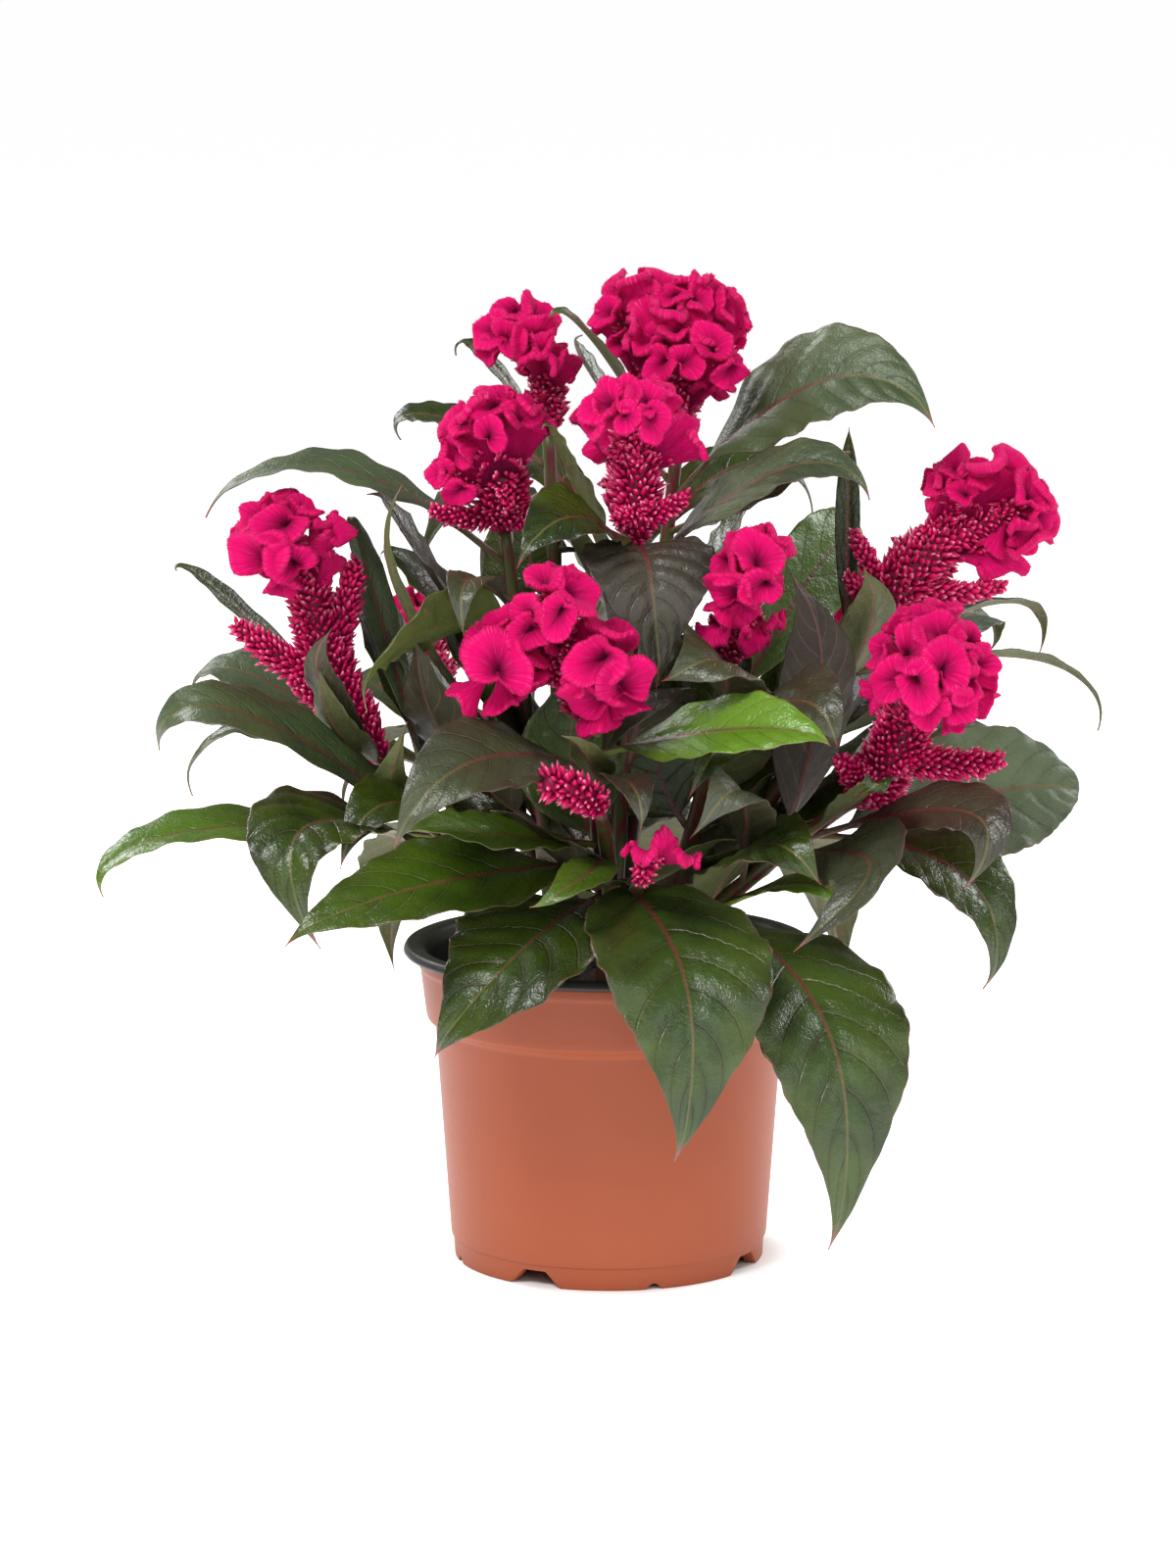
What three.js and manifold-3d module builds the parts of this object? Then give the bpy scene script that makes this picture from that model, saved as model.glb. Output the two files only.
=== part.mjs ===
// Cockscomb celosia in its pot: a two-layer pot, potting soil, four bushy plants and their flower heads.
// Millimetres, +Z up. The origin is on the pot's axis at the floor; the side with most heads faces -Y.
import * as THREE from 'three';
import { mergeVertices } from 'three/addons/utils/BufferGeometryUtils.js';
import Module from 'manifold-3d';

const wasm = await Module();
wasm.setup();

// ---- Driving dimensions of the pot -------------------------------------------------------------
const POT_SIDES = 24;
const FOOT_RADIUS = 49;
const FOOT_HEIGHT = 7;
const FOOT_RING = 4;
const WALL = 1.3;
const BODY_BOTTOM_RADIUS = 50.3;
const BODY_TOP_RADIUS = 55;
const BODY_TOP = 76;
const COLLAR_BOTTOM_RADIUS = 58;
const COLLAR_TOP_RADIUS = 60;
const COLLAR_TOP = 97.5;
const LIP_RADIUS = 65;
const LIP_TOP = 101;
const LIP_THICKNESS = 1.5;
const SOIL_TOP = 90;
const GAP = 0.3;
const NOTCHES = 4;
const NOTCH_REACH = 12;
const BIG_NOTCH = { turn: -28.5, bottom: 17, top: 6, height: 5 };
const SMALL_NOTCH = { turn: 16.5, radius: 1.9 };

// ---- Driving dimensions of the plants ----------------------------------------------------------
const HOLE_DEPTH = 12;
const CROWN_RADIUS = 4.5;
const CROWN_TOP = 98;
const FORK_HEIGHT = 95;
const STEM_FOOT_RADIUS = 3.2;
const STEM_TIP_RADIUS = 2;
const STEM_SIDES = 4;
const STEM_STEPS = 4;
const BLADE = 0.7;
const LEAST_HALF_WIDTH = 0.9;
const MARGIN_WAVE = 0.07;
const MARGIN_WAVES = 2.2;
// Leaves up to each width: where along the midrib and where across it their points lie.
const LEAF_GRIDS = [
  { width: 22, along: [0, 0.26, 0.6, 1], across: [-1, 0, 1] },
  { width: 36, along: [0, 0.2, 0.46, 0.76, 1], across: [-1, 0, 1] },
  { width: 44, along: [0, 0.14, 0.32, 0.54, 0.8, 1], across: [-1, 0, 1] },
  { width: 60, along: [0, 0.13, 0.29, 0.48, 0.7, 0.88, 1], across: [-1, -0.5, 0, 0.5, 1] },
];
const CREST_THICKNESS = 1.5;
const RIM_THICKNESS = 2.4;
const CREST_GATHER = 0.22;
const CREST_LIFT = 3.2;
const LOBE_SIZE = 1.25;
const LOBE_FLARE = 1.7;
const CREST_ROWS = [0, 0.5, 1];
const STEPS_PER_WAVE = 4;
// Fans: the least radius that is modelled, their sides, the two rings of their rim (share of the radius,
// height over the mouth in radii), the throat's depth, and the rim's wave and notch.
const LEAST_FAN = 5;
const FAN_SIDES = 6;
const FAN_RINGS = [[1, -0.22], [0.86, 0]];
const FAN_DEPTH = 0.65;
const FAN_WAVE = 0.12;
const FAN_NOTCH = 0.38;
const NOTCH_ANGLE = 0.45;
const FAN_TURN = 2.4;
const STALK_RADIUS = 3.2;
const STALK_START = 0.8;
const KNOB_RADIUS = 5;
const FLORET_PITCH = 7.6;
const WIDE_PLUME = 6.5;
const FLORET_RISE = 1.4;
const FLORET_VALLEY = 0.7;
const FLORET_TILT = 1.6;

// Where each plant goes into the soil.
const ROOTS = {
  left: [-15, 2],
  front: [0, -15],
  right: [15, -1],
  back: [3, 16],
};

// A branch: its plant, a point it passes half way, and its tip, where its flower head sits.
const BRANCHES = {
  upper_left: ['left', [-24, -12, 160], [-32, -24, 234]],
  high_left: ['left', [-16, 8, 180], [-19, 4, 262]],
  left: ['left', [-42, -10, 128], [-70, -18, 162]],
  centre: ['front', [4, -28, 160], [8, -44, 232]],
  front: ['front', [-3, -44, 140], [-8, -60, 180]],
  low: ['front', [5, -46, 118], [9, -74, 134]],
  bud: ['front', [0, -50, 130], [-3, -80, 156]],
  mid_right: ['right', [28, -28, 150], [37, -44, 196]],
  high_right: ['right', [54, 0, 152], [82, -6, 202]],
  right: ['right', [44, -34, 128], [73, -52, 154]],
  top: ['back', [12, 8, 175], [21, -6, 258]],
  back_left: ['back', [-34, 44, 134], [-54, 64, 166]],
  back_middle: ['back', [2, 50, 160], [6, 74, 224]],
  back_right: ['back', [44, 44, 134], [78, 62, 168]],
};

// A leaf: its branch, where on it (0 foot, 1 tip), a point the midrib passes half way, its tip,
// its width, its roll about the midrib and the fold of its two halves (degrees).
const LEAVES = {
  apron: ['front', 0.38, [22, -104, 110], [20, -110, 54], 56, 0, 14],
  apron_left: ['front', 0.3, [-27, -86, 115], [-55, -88, 82], 52, 12, 10],
  sprig: ['front', 0.45, [-8, -98, 140], [-24, -110, 132], 15, 15, 12],
  low_left: ['front', 0.42, [-56, -92, 136], [-97, -112, 123], 34, 30, 10],
  low_left_short: ['front', 0.5, [-38, -80, 150], [-61, -98, 155], 27, 20, 10],
  arch_left: ['front', 0.8, [-41, -102, 175], [-64, -116, 151], 29, 38, 14],
  tongue: ['front', 0.75, [6, -106, 169], [9, -110, 155], 14, 0, 20],
  bud_leaf: ['front', 0.7, [-6, -84, 173], [-14, -93, 182], 14, 10, 18],
  bright: ['front', 0.86, [38, -96, 184], [65, -110, 182], 27, -40, 16],
  low_right: ['right', 0.22, [45, -78, 146], [63, -92, 135], 32, -25, 10],
  drape: ['centre', 0.99, [12, -66, 226], [15, -67, 190], 42, 0, 14],
  curl: ['centre', 0.97, [-11, -70, 244], [-28, -86, 231], 28, 30, 12],
  shadow: ['centre', 0.84, [-12, -40, 254], [-19, -44, 270], 26, 0, 14],
  ribbon: ['centre', 0.93, [52, -56, 257], [79, -64, 249], 23, -35, 10],
  under: ['upper_left', 0.8, [-58, -62, 208], [-76, -84, 189], 36, -45, 8],
  narrow: ['upper_left', 0.84, [-42, -84, 227], [-43, -92, 209], 14, 10, 16],
  long: ['upper_left', 0.93, [-85, -24, 254], [-126, -24, 240], 24, 14, 10],
  hang: ['left', 0.42, [-90, -70, 151], [-88, -86, 114], 40, 15, 12],
  teal: ['left', 0.4, [-64, -56, 155], [-82, -72, 137], 27, 25, 14],
  far: ['left', 0.62, [-130, -38, 143], [-157, -52, 125], 24, 14, 10],
  arch: ['left', 0.44, [-110, -54, 182], [-140, -40, 167], 26, 30, 12],
  arch_back: ['left', 0.66, [-110, 8, 184], [-134, 16, 174], 27, 20, 10],
  upright: ['upper_left', 0.45, [-64, -34, 215], [-62, -34, 249], 11, 10, 16],
  feather: ['left', 0.75, [-116, 10, 205], [-137, 6, 218], 12, 10, 12],
  silver: ['left', 0.72, [-75, 2, 216], [-81, -4, 235], 12, 30, 14],
  crook: ['high_left', 0.93, [-56, 10, 267], [-67, 8, 259], 17, 20, 10],
  wisp: ['high_left', 0.97, [-40, 14, 286], [-49, 16, 285], 9, 10, 10],
  crown: ['top', 0.9, [66, -26, 281], [99, -42, 269], 38, -52, 12],
  strap: ['top', 0.96, [-5, -30, 294], [-19, -38, 301], 13, 25, 14],
  spear: ['top', 0.93, [-6, 0, 282], [-9, 2, 291], 14, 0, 18],
  shade: ['top', 0.84, [47, -30, 248], [72, -34, 262], 26, -30, 10],
  plum: ['right', 0.62, [64, -50, 192], [54, -46, 222], 28, 0, 16],
  grey: ['right', 0.45, [39, -88, 164], [24, -98, 150], 22, 30, 12],
  lime: ['right', 0.3, [59, -60, 131], [69, -62, 122], 15, -20, 10],
  hook: ['right', 0.62, [77, -94, 143], [53, -106, 119], 30, -38, 12],
  apron_right: ['right', 0.28, [66, -94, 90], [67, -92, 22], 50, -8, 10],
  fall: ['right', 0.78, [107, -78, 136], [114, -82, 101], 30, -20, 12],
  violet: ['right', 0.74, [106, -90, 158], [105, -102, 136], 24, -30, 14],
  broad: ['right', 0.74, [123, -20, 153], [149, -6, 148], 43, -60, 6],
  chip: ['right', 0.76, [78, -96, 167], [72, -98, 163], 15, -10, 12],
  gloss: ['mid_right', 0.8, [33, -80, 202], [15, -90, 196], 34, 30, 10],
  glint: ['mid_right', 0.72, [56, -86, 191], [67, -96, 177], 28, -35, 12],
  stripe: ['mid_right', 0.7, [71, 22, 223], [81, 32, 206], 28, -60, 6],
  thong: ['high_right', 0.84, [134, -4, 192], [155, -4, 169], 17, 8, 12],
  thong_back: ['high_right', 0.88, [126, 20, 207], [138, 28, 188], 12, 8, 12],
  moon: ['high_right', 0.82, [117, 50, 198], [125, 58, 184], 20, -20, 8],
  leaf_ear: ['high_right', 0.76, [80, -34, 208], [77, -38, 224], 18, 0, 14],
  needle: ['high_right', 0.84, [75, 12, 240], [75, 8, 262], 8, 0, 12],
  back_low_left: ['back_left', 0.4, [-62, 84, 118], [-74, 98, 72], 46, 0, 12],
  back_low: ['back_middle', 0.3, [10, 96, 116], [6, 106, 60], 50, 0, 12],
  back_low_right: ['back_right', 0.4, [66, 88, 112], [80, 98, 68], 44, 0, 12],
  back_far_left: ['back_left', 0.6, [-112, 64, 160], [-140, 70, 136], 32, 10, 10],
  back_far_right: ['back_right', 0.6, [118, 78, 156], [142, 86, 130], 32, -10, 10],
  back_arch_left: ['back_left', 0.7, [-84, 102, 170], [-96, 119, 144], 30, 0, 12],
  back_arch: ['back_middle', 0.7, [-18, 102, 196], [-26, 124, 158], 32, 0, 12],
  back_arch_right: ['back_middle', 0.6, [34, 102, 178], [48, 123, 150], 30, 0, 12],
  back_tongue: ['back_right', 0.7, [100, 98, 164], [106, 118, 144], 26, 0, 12],
  back_high_left: ['back_middle', 0.9, [-30, 82, 250], [-56, 92, 232], 24, 20, 10],
  back_high_right: ['back_middle', 0.88, [44, 84, 244], [70, 90, 226], 26, -20, 10],
  screen_centre: ['centre', 0.6, [22, -30, 205], [28, -28, 229], 34, 0, 12],
  screen_low: ['mid_right', 0.5, [37, -54, 178], [23, -68, 158], 36, 0, 12],
  screen_right: ['mid_right', 0.55, [36, -16, 194], [54, -22, 218], 36, 0, 12],
  fill_left: ['upper_left', 0.4, [-59, 5, 182], [-68, 5, 213], 36, 0, 12],
  fill_right: ['mid_right', 0.45, [46, 5, 163], [55, 5, 196], 36, 0, 12],
  fill_high: ['top', 0.7, [35, 10, 225], [44, 10, 245], 28, 0, 12],
  back_side_left: ['high_left', 0.42, [-62, 22, 166], [-88, 34, 138], 30, 0, 10],
  back_side_right: ['high_right', 0.5, [84, 34, 172], [106, 46, 146], 30, 0, 10],
  back_strap: ['high_left', 0.8, [-42, 40, 240], [-62, 56, 214], 24, 0, 12],
};

// Fans of a head that faces away: across and up from its heart, and radius.
const BACK_FANS = [[0, 0, 6.5], [9, 4, 6], [1, 10, 6], [-9, 5, 6], [-9, -5, 4.8], [-1, -10, 5.2], [8, -6, 4.8]];

// A flower head: the neck where its column of florets ends, the column's radius, its crests, its clusters
// of fans and its side plumes. A crest: number of waves, their depth, the root that it springs from and the
// spine that its rim winds about. A cluster: the heart that its fans spring from, how far they spread and
// how far they reach forwards (or back, if negative), and for each fan its x, z and radius. A plume: its
// start on the column (0 foot, 1 neck), its end and its radius.
const HEADS = {
  top: {
    neck: [20, -8, 272], column: 5,
    crests: [
      [4, 4.8, [20, -7, 268], [[-2, -4, 295], [-1, -8, 307], [8, -10, 312], [21, -10, 310], [33, -8, 310],
        [41, -6, 300], [41, -6, 291]]],
      [3, 4.2, [19, -11, 270], [[5, -20, 292], [8, -22, 300], [17, -20, 303], [27, -20, 299],
        [34, -24, 291], [34, -28, 280]]],
    ],
    clusters: [
      [[5.4, -6.4, 296.6], 11, 12, [[-2, 301, 4.5], [4, 291, 4]]],
      [[32.6, -17.4, 287.5], 12, 13, [[31, 293, 5.5], [37, 283, 4.5], [30, 276, 4.5]]],
    ],
    plumes: [],
  },
  high_left: {
    neck: [-19, 2, 278], column: 5,
    crests: [
      [2, 3.5, [-19, 1, 275], [[-27, -14, 288], [-22, -16, 291], [-16, -14, 288], [-12, -10, 280]]],
    ],
    clusters: [
      [[-29, -2, 292], 13, 15, [[-37, 295, 5.5], [-30, 302, 5], [-21, 301, 5.5], [-38, 289, 4],
        [-31, 293, 5], [-23, 293, 6.5], [-15, 286, 4]]],
    ],
    plumes: [],
  },
  upper_left: {
    neck: [-33, -32, 254], column: 7.5,
    crests: [
      [3, 5, [-33, -36, 251], [[-51, -34, 252], [-50, -40, 267], [-43, -42, 275], [-34, -42, 279],
        [-25, -40, 275], [-18, -36, 267]]],
    ],
    clusters: [
      [[-35, -34, 265], 15, 17, [[-45, 271, 4.5], [-36, 276, 5.5], [-26, 273, 5.5], [-20, 269, 4.5],
        [-47, 260, 4.5], [-36, 267, 4.5]]],
    ],
    plumes: [[0.3, [-54, -44, 243], 3.6], [0.15, [-13, -40, 245], 3]],
  },
  centre: {
    neck: [7, -48, 266], column: 6.5,
    crests: [
      [1.5, 3.5, [11, -48, 257], [[15, -50, 273], [20, -54, 272], [25, -54, 268], [28, -50, 260]]],
    ],
    clusters: [
      [[6, -54, 272], 14, 17, [[-3, 278, 6], [-6, 272, 5], [5, 281, 4.5], [11, 279, 5.5], [18, 281, 5],
        [20, 276, 4], [13, 273, 5.5], [5, 274, 4]]],
    ],
    plumes: [[0.3, [23, -58, 249], 3.6], [0.4, [2, -56, 242], 3.6]],
  },
  left: {
    neck: [-92, -24, 216], column: 7,
    crests: [
      [2, 4, [-92, -25, 214], [[-91, -30, 242], [-85, -34, 237], [-85, -34, 230], [-88, -30, 220]]],
    ],
    clusters: [
      [[-100, -30, 231], 15, 18, [[-109, 241, 5.5], [-100, 239, 7], [-107, 229, 8], [-97, 227, 6.5],
        [-100, 217, 5], [-99, 246, 5], [-106, 245, 4], [-93, 244, 4.5], [-114, 234, 4]]],
    ],
    plumes: [[0.6, [-78, -24, 225], 4.5], [0.5, [-115, -30, 206], 4.5], [0.35, [-98, -30, 189], 3.6]],
  },
  front: {
    neck: [-8, -68, 198], column: 5,
    crests: [],
    clusters: [
      [[-33, -84, 202], 12, 16, [[-33, 204, 8.5], [-34, 215, 6], [-23, 208, 5.5], [-45, 190, 5.5],
        [-31, 188, 6], [-23, 194, 5.5]]],
      [[-2, -84, 200], 12, 18, [[2, 213, 8], [-4, 205, 7.5], [5, 198, 7.5], [-6, 191, 7.5],
        [-3, 181, 5.5], [6, 186, 5], [-11, 199, 4.5]]],
      [[-17, -86, 219], 11, 15, [[-20, 229, 5], [-9, 225, 7], [-25, 219, 5], [-15, 218, 5.5],
        [-14, 231, 4.5]]],
    ],
    plumes: [],
  },
  mid_right: {
    neck: [40, -54, 212], column: 6,
    crests: [
      [2, 3.5, [41, -57, 211], [[28, -62, 210], [36, -66, 209], [45, -66, 208], [52, -60, 209]]],
    ],
    clusters: [
      [[43, -66, 227], 13, 16, [[44, 234, 6.5], [33, 231, 5.5], [35, 222, 6.5], [32, 213, 4.5],
        [40, 239, 5], [52, 237, 5], [45, 224, 5.5], [40, 216, 4.5]]],
    ],
    plumes: [],
  },
  high_right: {
    neck: [104, -8, 230], column: 8,
    crests: [
      [4, 5, [105, -10, 229], [[99, -14, 241], [102, -18, 252], [112, -20, 256], [124, -20, 256],
        [135, -20, 246], [136, -20, 234], [128, -20, 226], [114, -18, 223]]],
    ],
    clusters: [
      [[124, -16, 240], 13, 13, [[130, 247, 5.5], [134, 238, 4.5], [127, 232, 5.5], [118, 227, 4.5],
        [123, 253, 4.5]]],
    ],
    plumes: [[0.4, [122, -14, 216], 3.8], [0.3, [76, -18, 233], 3.6], [0.2, [74, -14, 219], 3.6]],
  },
  right: {
    neck: [90, -62, 184], column: 8,
    crests: [],
    clusters: [
      [[96, -78, 199], 19, 24, [[82, 198, 6], [90, 198, 6.5], [88, 208, 6], [97, 213, 6.5],
        [99, 219, 4.8], [99, 204, 6.5], [107, 211, 5.5], [111, 204, 4.8], [106, 197, 5], [115, 197, 4.5],
        [103, 191, 5.5], [113, 188, 4.8], [105, 182, 5], [79, 206, 4.8], [84, 215, 5], [76, 190, 4],
        [92, 217, 4.5], [94, 189, 5]]],
    ],
    plumes: [[0.6, [117, -74, 171], 4.5], [0.3, [69, -78, 172], 4]],
  },
  low: {
    neck: [12, -88, 144], column: 3.2,
    crests: [
      [1.5, 2.5, [12, -89, 143], [[6, -96, 150], [13, -101, 148], [19, -102, 150], [26, -100, 145]]],
    ],
    clusters: [],
    plumes: [],
  },
  bud: {
    neck: [-19, -96, 168], column: 4.5,
    crests: [],
    clusters: [],
    plumes: [],
  },
  back_left: {
    neck: [-58, 72, 180], column: 6,
    crests: [],
    clusters: [
      [[-60, 80, 192], 14, -16, BACK_FANS],
    ],
    plumes: [[0.4, [-74, 84, 186], 4]],
  },
  back_middle: {
    neck: [8, 78, 242], column: 7,
    crests: [
      [3, 5, [8, 79, 239], [[-10, 84, 258], [-2, 86, 268], [10, 88, 270], [21, 84, 264]]],
    ],
    clusters: [
      [[6, 90, 252], 15, -18, BACK_FANS],
    ],
    plumes: [],
  },
  back_right: {
    neck: [84, 68, 182], column: 6,
    crests: [],
    clusters: [
      [[88, 80, 193], 14, -16, BACK_FANS],
    ],
    plumes: [[0.4, [102, 72, 190], 4]],
  },
};

// ---- Materials ---------------------------------------------------------------------------------
const finish = (color, roughness, metalness = 0) =>
  new THREE.MeshStandardMaterial({ color, roughness, metalness, side: THREE.DoubleSide });
const TERRACOTTA = finish(0xc8765a, 0.5);
const BLACK_PLASTIC = finish(0x1a1a1a, 0.45);
const PEAT = finish(0x2e211a, 0.95);
const FOLIAGE = finish(0x38451a, 0.4);
const CREST = finish(0xd00a60, 0.85);

// ---- Small vector and curve helpers ------------------------------------------------------------
const vec = (p) => new THREE.Vector3(...p);
const unit = (v) => v.clone().normalize();
const cross = (a, b) => new THREE.Vector3().crossVectors(a, b);
const along = (start, ...terms) => terms.reduce((p, [v, k]) => p.addScaledVector(v, k), start.clone());
const radians = THREE.MathUtils.degToRad;
const smooth = THREE.MathUtils.smoothstep;

// A curve from start to end that passes `middle` half way.
function arcThrough(start, middle, end) {
  const control = along(middle.clone().multiplyScalar(2), [start, -0.5], [end, -0.5]);
  return new THREE.QuadraticBezierCurve3(start, control, end);
}

// Two directions square to a tangent, the same way round all along a path.
function sides(tangent, chord) {
  const size = chord.toArray().map(Math.abs);
  const axis = [0, 0, 0];
  axis[size.indexOf(Math.min(...size))] = 1;
  const first = cross(vec(axis), tangent).normalize();
  return [first, cross(tangent, first)];
}

// ---- Building and joining solids ---------------------------------------------------------------
function geometryOf(points, triangles) {
  const geometry = new THREE.BufferGeometry();
  geometry.setAttribute('position', new THREE.Float32BufferAttribute(points.flatMap((p) => p.toArray()), 3));
  geometry.setIndex(triangles.flat());
  return geometry;
}

function solidOf(geometry) {
  const bare = geometry.clone();
  bare.deleteAttribute('normal');
  bare.deleteAttribute('uv');
  const merged = mergeVertices(bare, 1e-4);
  const vertProperties = Float32Array.from(merged.attributes.position.array);
  const triVerts = Uint32Array.from(merged.index.array);
  return new wasm.Manifold(new wasm.Mesh({ numProp: 3, vertProperties, triVerts }));
}

// The outer skin of a solid: the shell with the most triangles. It leaves out sealed hollows and scraps.
function outerShell(solid) {
  const { vertProperties, triVerts, numProp } = solid.getMesh();
  const parent = Array.from({ length: vertProperties.length / numProp }, (_, i) => i);
  const find = (i) => {
    while (parent[i] !== i) {
      parent[i] = parent[parent[i]];
      i = parent[i];
    }
    return i;
  };
  for (let t = 0; t < triVerts.length; t += 3) {
    parent[find(triVerts[t])] = find(triVerts[t + 1]);
    parent[find(triVerts[t + 1])] = find(triVerts[t + 2]);
  }
  const shells = new Map();
  for (let t = 0; t < triVerts.length; t += 3) {
    const key = find(triVerts[t]);
    shells.set(key, [...(shells.get(key) ?? []), triVerts[t], triVerts[t + 1], triVerts[t + 2]]);
  }
  const largest = [...shells.values()].reduce((a, b) => (b.length > a.length ? b : a));
  const geometry = new THREE.BufferGeometry();
  geometry.setAttribute('position', new THREE.BufferAttribute(Float32Array.from(vertProperties), 3));
  geometry.setIndex(largest);
  return geometry.toNonIndexed();
}

const fuse = (geometries) => geometries.map(solidOf).reduce((whole, piece) => whole.add(piece));

function named(name, geometry, material) {
  const mesh = new THREE.Mesh(geometry, material);
  mesh.name = name;
  geometry.computeVertexNormals();
  return mesh;
}

// A closed sheet from its two faces, both grids of points, both split into triangles alike. The first
// is the face whose outward side turns from the rows to the columns.
function sheet(front, behind) {
  const rows = front.length;
  const columns = front[0].length;
  const points = [...front.flat(), ...behind.flat()];
  const top = (i, j) => i * columns + j;
  const low = (i, j) => rows * columns + i * columns + j;
  const triangles = [];
  for (let i = 0; i < rows - 1; i += 1) {
    for (let j = 0; j < columns - 1; j += 1) {
      triangles.push([top(i, j), top(i + 1, j), top(i + 1, j + 1)], [top(i, j), top(i + 1, j + 1), top(i, j + 1)]);
      triangles.push([low(i, j), low(i + 1, j + 1), low(i + 1, j)], [low(i, j), low(i, j + 1), low(i + 1, j + 1)]);
    }
  }
  const border = [];
  for (let i = 0; i < rows - 1; i += 1) {
    border.push([i, 0, i + 1, 0], [i + 1, columns - 1, i, columns - 1]);
  }
  for (let j = 0; j < columns - 1; j += 1) {
    border.push([0, j + 1, 0, j], [rows - 1, j, rows - 1, j + 1]);
  }
  for (const [a, b, c, d] of border) {
    triangles.push([top(c, d), top(a, b), low(a, b)], [top(c, d), low(a, b), low(c, d)]);
  }
  return geometryOf(points, triangles);
}

// A closed tube about a curve; radiusAt(step, side) gives the distance and the shift along the curve.
function tube(curve, steps, count, radiusAt) {
  const chord = curve.getPoint(1).sub(curve.getPoint(0));
  const points = [];
  const triangles = [];
  for (let i = 0; i <= steps; i += 1) {
    const t = i / steps;
    const tangent = curve.getTangent(t);
    const [first, second] = sides(tangent, chord);
    for (let k = 0; k < count; k += 1) {
      const angle = (2 * Math.PI * k) / count;
      const [radius, shift] = radiusAt(i, k, t);
      const spoke = along(new THREE.Vector3(), [first, Math.cos(angle)], [second, Math.sin(angle)]);
      points.push(along(curve.getPoint(t), [spoke, radius], [tangent, shift]));
    }
  }
  const at = (i, k) => i * count + (k % count);
  for (let i = 0; i < steps; i += 1) {
    for (let k = 0; k < count; k += 1) {
      const [a, b, c, d] = [at(i, k), at(i, k + 1), at(i + 1, k + 1), at(i + 1, k)];
      triangles.push(...((i + k) % 2 ? [[a, b, d], [b, c, d]] : [[a, b, c], [a, c, d]]));
    }
  }
  points.push(curve.getPoint(0), curve.getPoint(1));
  const [foot, tip] = [points.length - 2, points.length - 1];
  for (let k = 0; k < count; k += 1) {
    triangles.push([foot, at(0, k + 1), at(0, k)], [tip, at(steps, k), at(steps, k + 1)]);
  }
  return geometryOf(points, triangles);
}

// ---- The pot -----------------------------------------------------------------------------------
function turned(profile) {
  const closed = [...profile, profile[0]].map(([r, z]) => new THREE.Vector2(r, z));
  const geometry = new THREE.LatheGeometry(closed, POT_SIDES);
  return geometry.rotateX(Math.PI / 2);
}

function footNotches() {
  const { turn, bottom, top, height } = BIG_NOTCH;
  const wide = new THREE.Shape();
  wide.moveTo(-bottom / 2, -1);
  wide.lineTo(bottom / 2, -1);
  wide.lineTo(top / 2 + 1, height);
  wide.lineTo(-top / 2 - 1, height);
  const round = new THREE.Shape();
  round.absarc(0, 0, SMALL_NOTCH.radius, 0, 2 * Math.PI);
  const cuts = [];
  for (let k = 0; k < NOTCHES; k += 1) {
    for (const [shape, start] of [[wide, turn], [round, SMALL_NOTCH.turn]]) {
      const bar = new THREE.ExtrudeGeometry(shape, { depth: NOTCH_REACH, bevelEnabled: false, curveSegments: 5 });
      bar.rotateX(Math.PI / 2);
      bar.translate(0, 2 * FOOT_RING - FOOT_RADIUS, 0);
      bar.rotateZ(radians(start + (360 / NOTCHES) * k));
      cuts.push(solidOf(bar));
    }
  }
  return cuts;
}

function potBody() {
  const inner = FOOT_RADIUS - FOOT_RING;
  const shell = turned([
    [0, FOOT_HEIGHT - WALL],
    [inner, FOOT_HEIGHT - WALL],
    [inner + 0.3, 0],
    [FOOT_RADIUS, 0],
    [FOOT_RADIUS + 0.5, FOOT_HEIGHT],
    [BODY_BOTTOM_RADIUS, FOOT_HEIGHT + 0.8],
    [BODY_TOP_RADIUS, BODY_TOP],
    [COLLAR_BOTTOM_RADIUS, BODY_TOP + 2],
    [COLLAR_TOP_RADIUS, COLLAR_TOP],
    [COLLAR_TOP_RADIUS - WALL, COLLAR_TOP],
    [COLLAR_BOTTOM_RADIUS - WALL, BODY_TOP + 2.6],
    [BODY_TOP_RADIUS - WALL, BODY_TOP + 0.6],
    [BODY_BOTTOM_RADIUS - WALL, FOOT_HEIGHT],
    [0, FOOT_HEIGHT],
  ]);
  return footNotches().reduce((body, cut) => body.subtract(cut), solidOf(shell));
}

// The pot's inner wall, less a distance, from a floor up to a top: one bend, at the foot of the collar.
function innerWall(inset, floor, top) {
  const height = (top - BODY_TOP) / (COLLAR_TOP - BODY_TOP);
  const collar = THREE.MathUtils.lerp(BODY_TOP_RADIUS, COLLAR_TOP_RADIUS, height);
  return [
    [BODY_BOTTOM_RADIUS - inset, floor],
    [BODY_TOP_RADIUS - inset, BODY_TOP + 0.6],
    [collar - inset, top],
  ];
}

function potLining() {
  const outside = innerWall(WALL + GAP, FOOT_HEIGHT + GAP, COLLAR_TOP + GAP);
  const inside = innerWall(WALL + GAP + 1, FOOT_HEIGHT + GAP + 1, LIP_TOP - 2);
  return turned([
    [0, FOOT_HEIGHT + GAP],
    ...outside,
    [LIP_RADIUS - 0.6, COLLAR_TOP + GAP],
    [LIP_RADIUS, COLLAR_TOP + GAP + LIP_THICKNESS],
    [LIP_RADIUS - 0.8, LIP_TOP],
    [COLLAR_TOP_RADIUS - 0.5, LIP_TOP - 0.4],
    ...inside.reverse(),
    [0, FOOT_HEIGHT + GAP + 1],
  ]);
}

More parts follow.
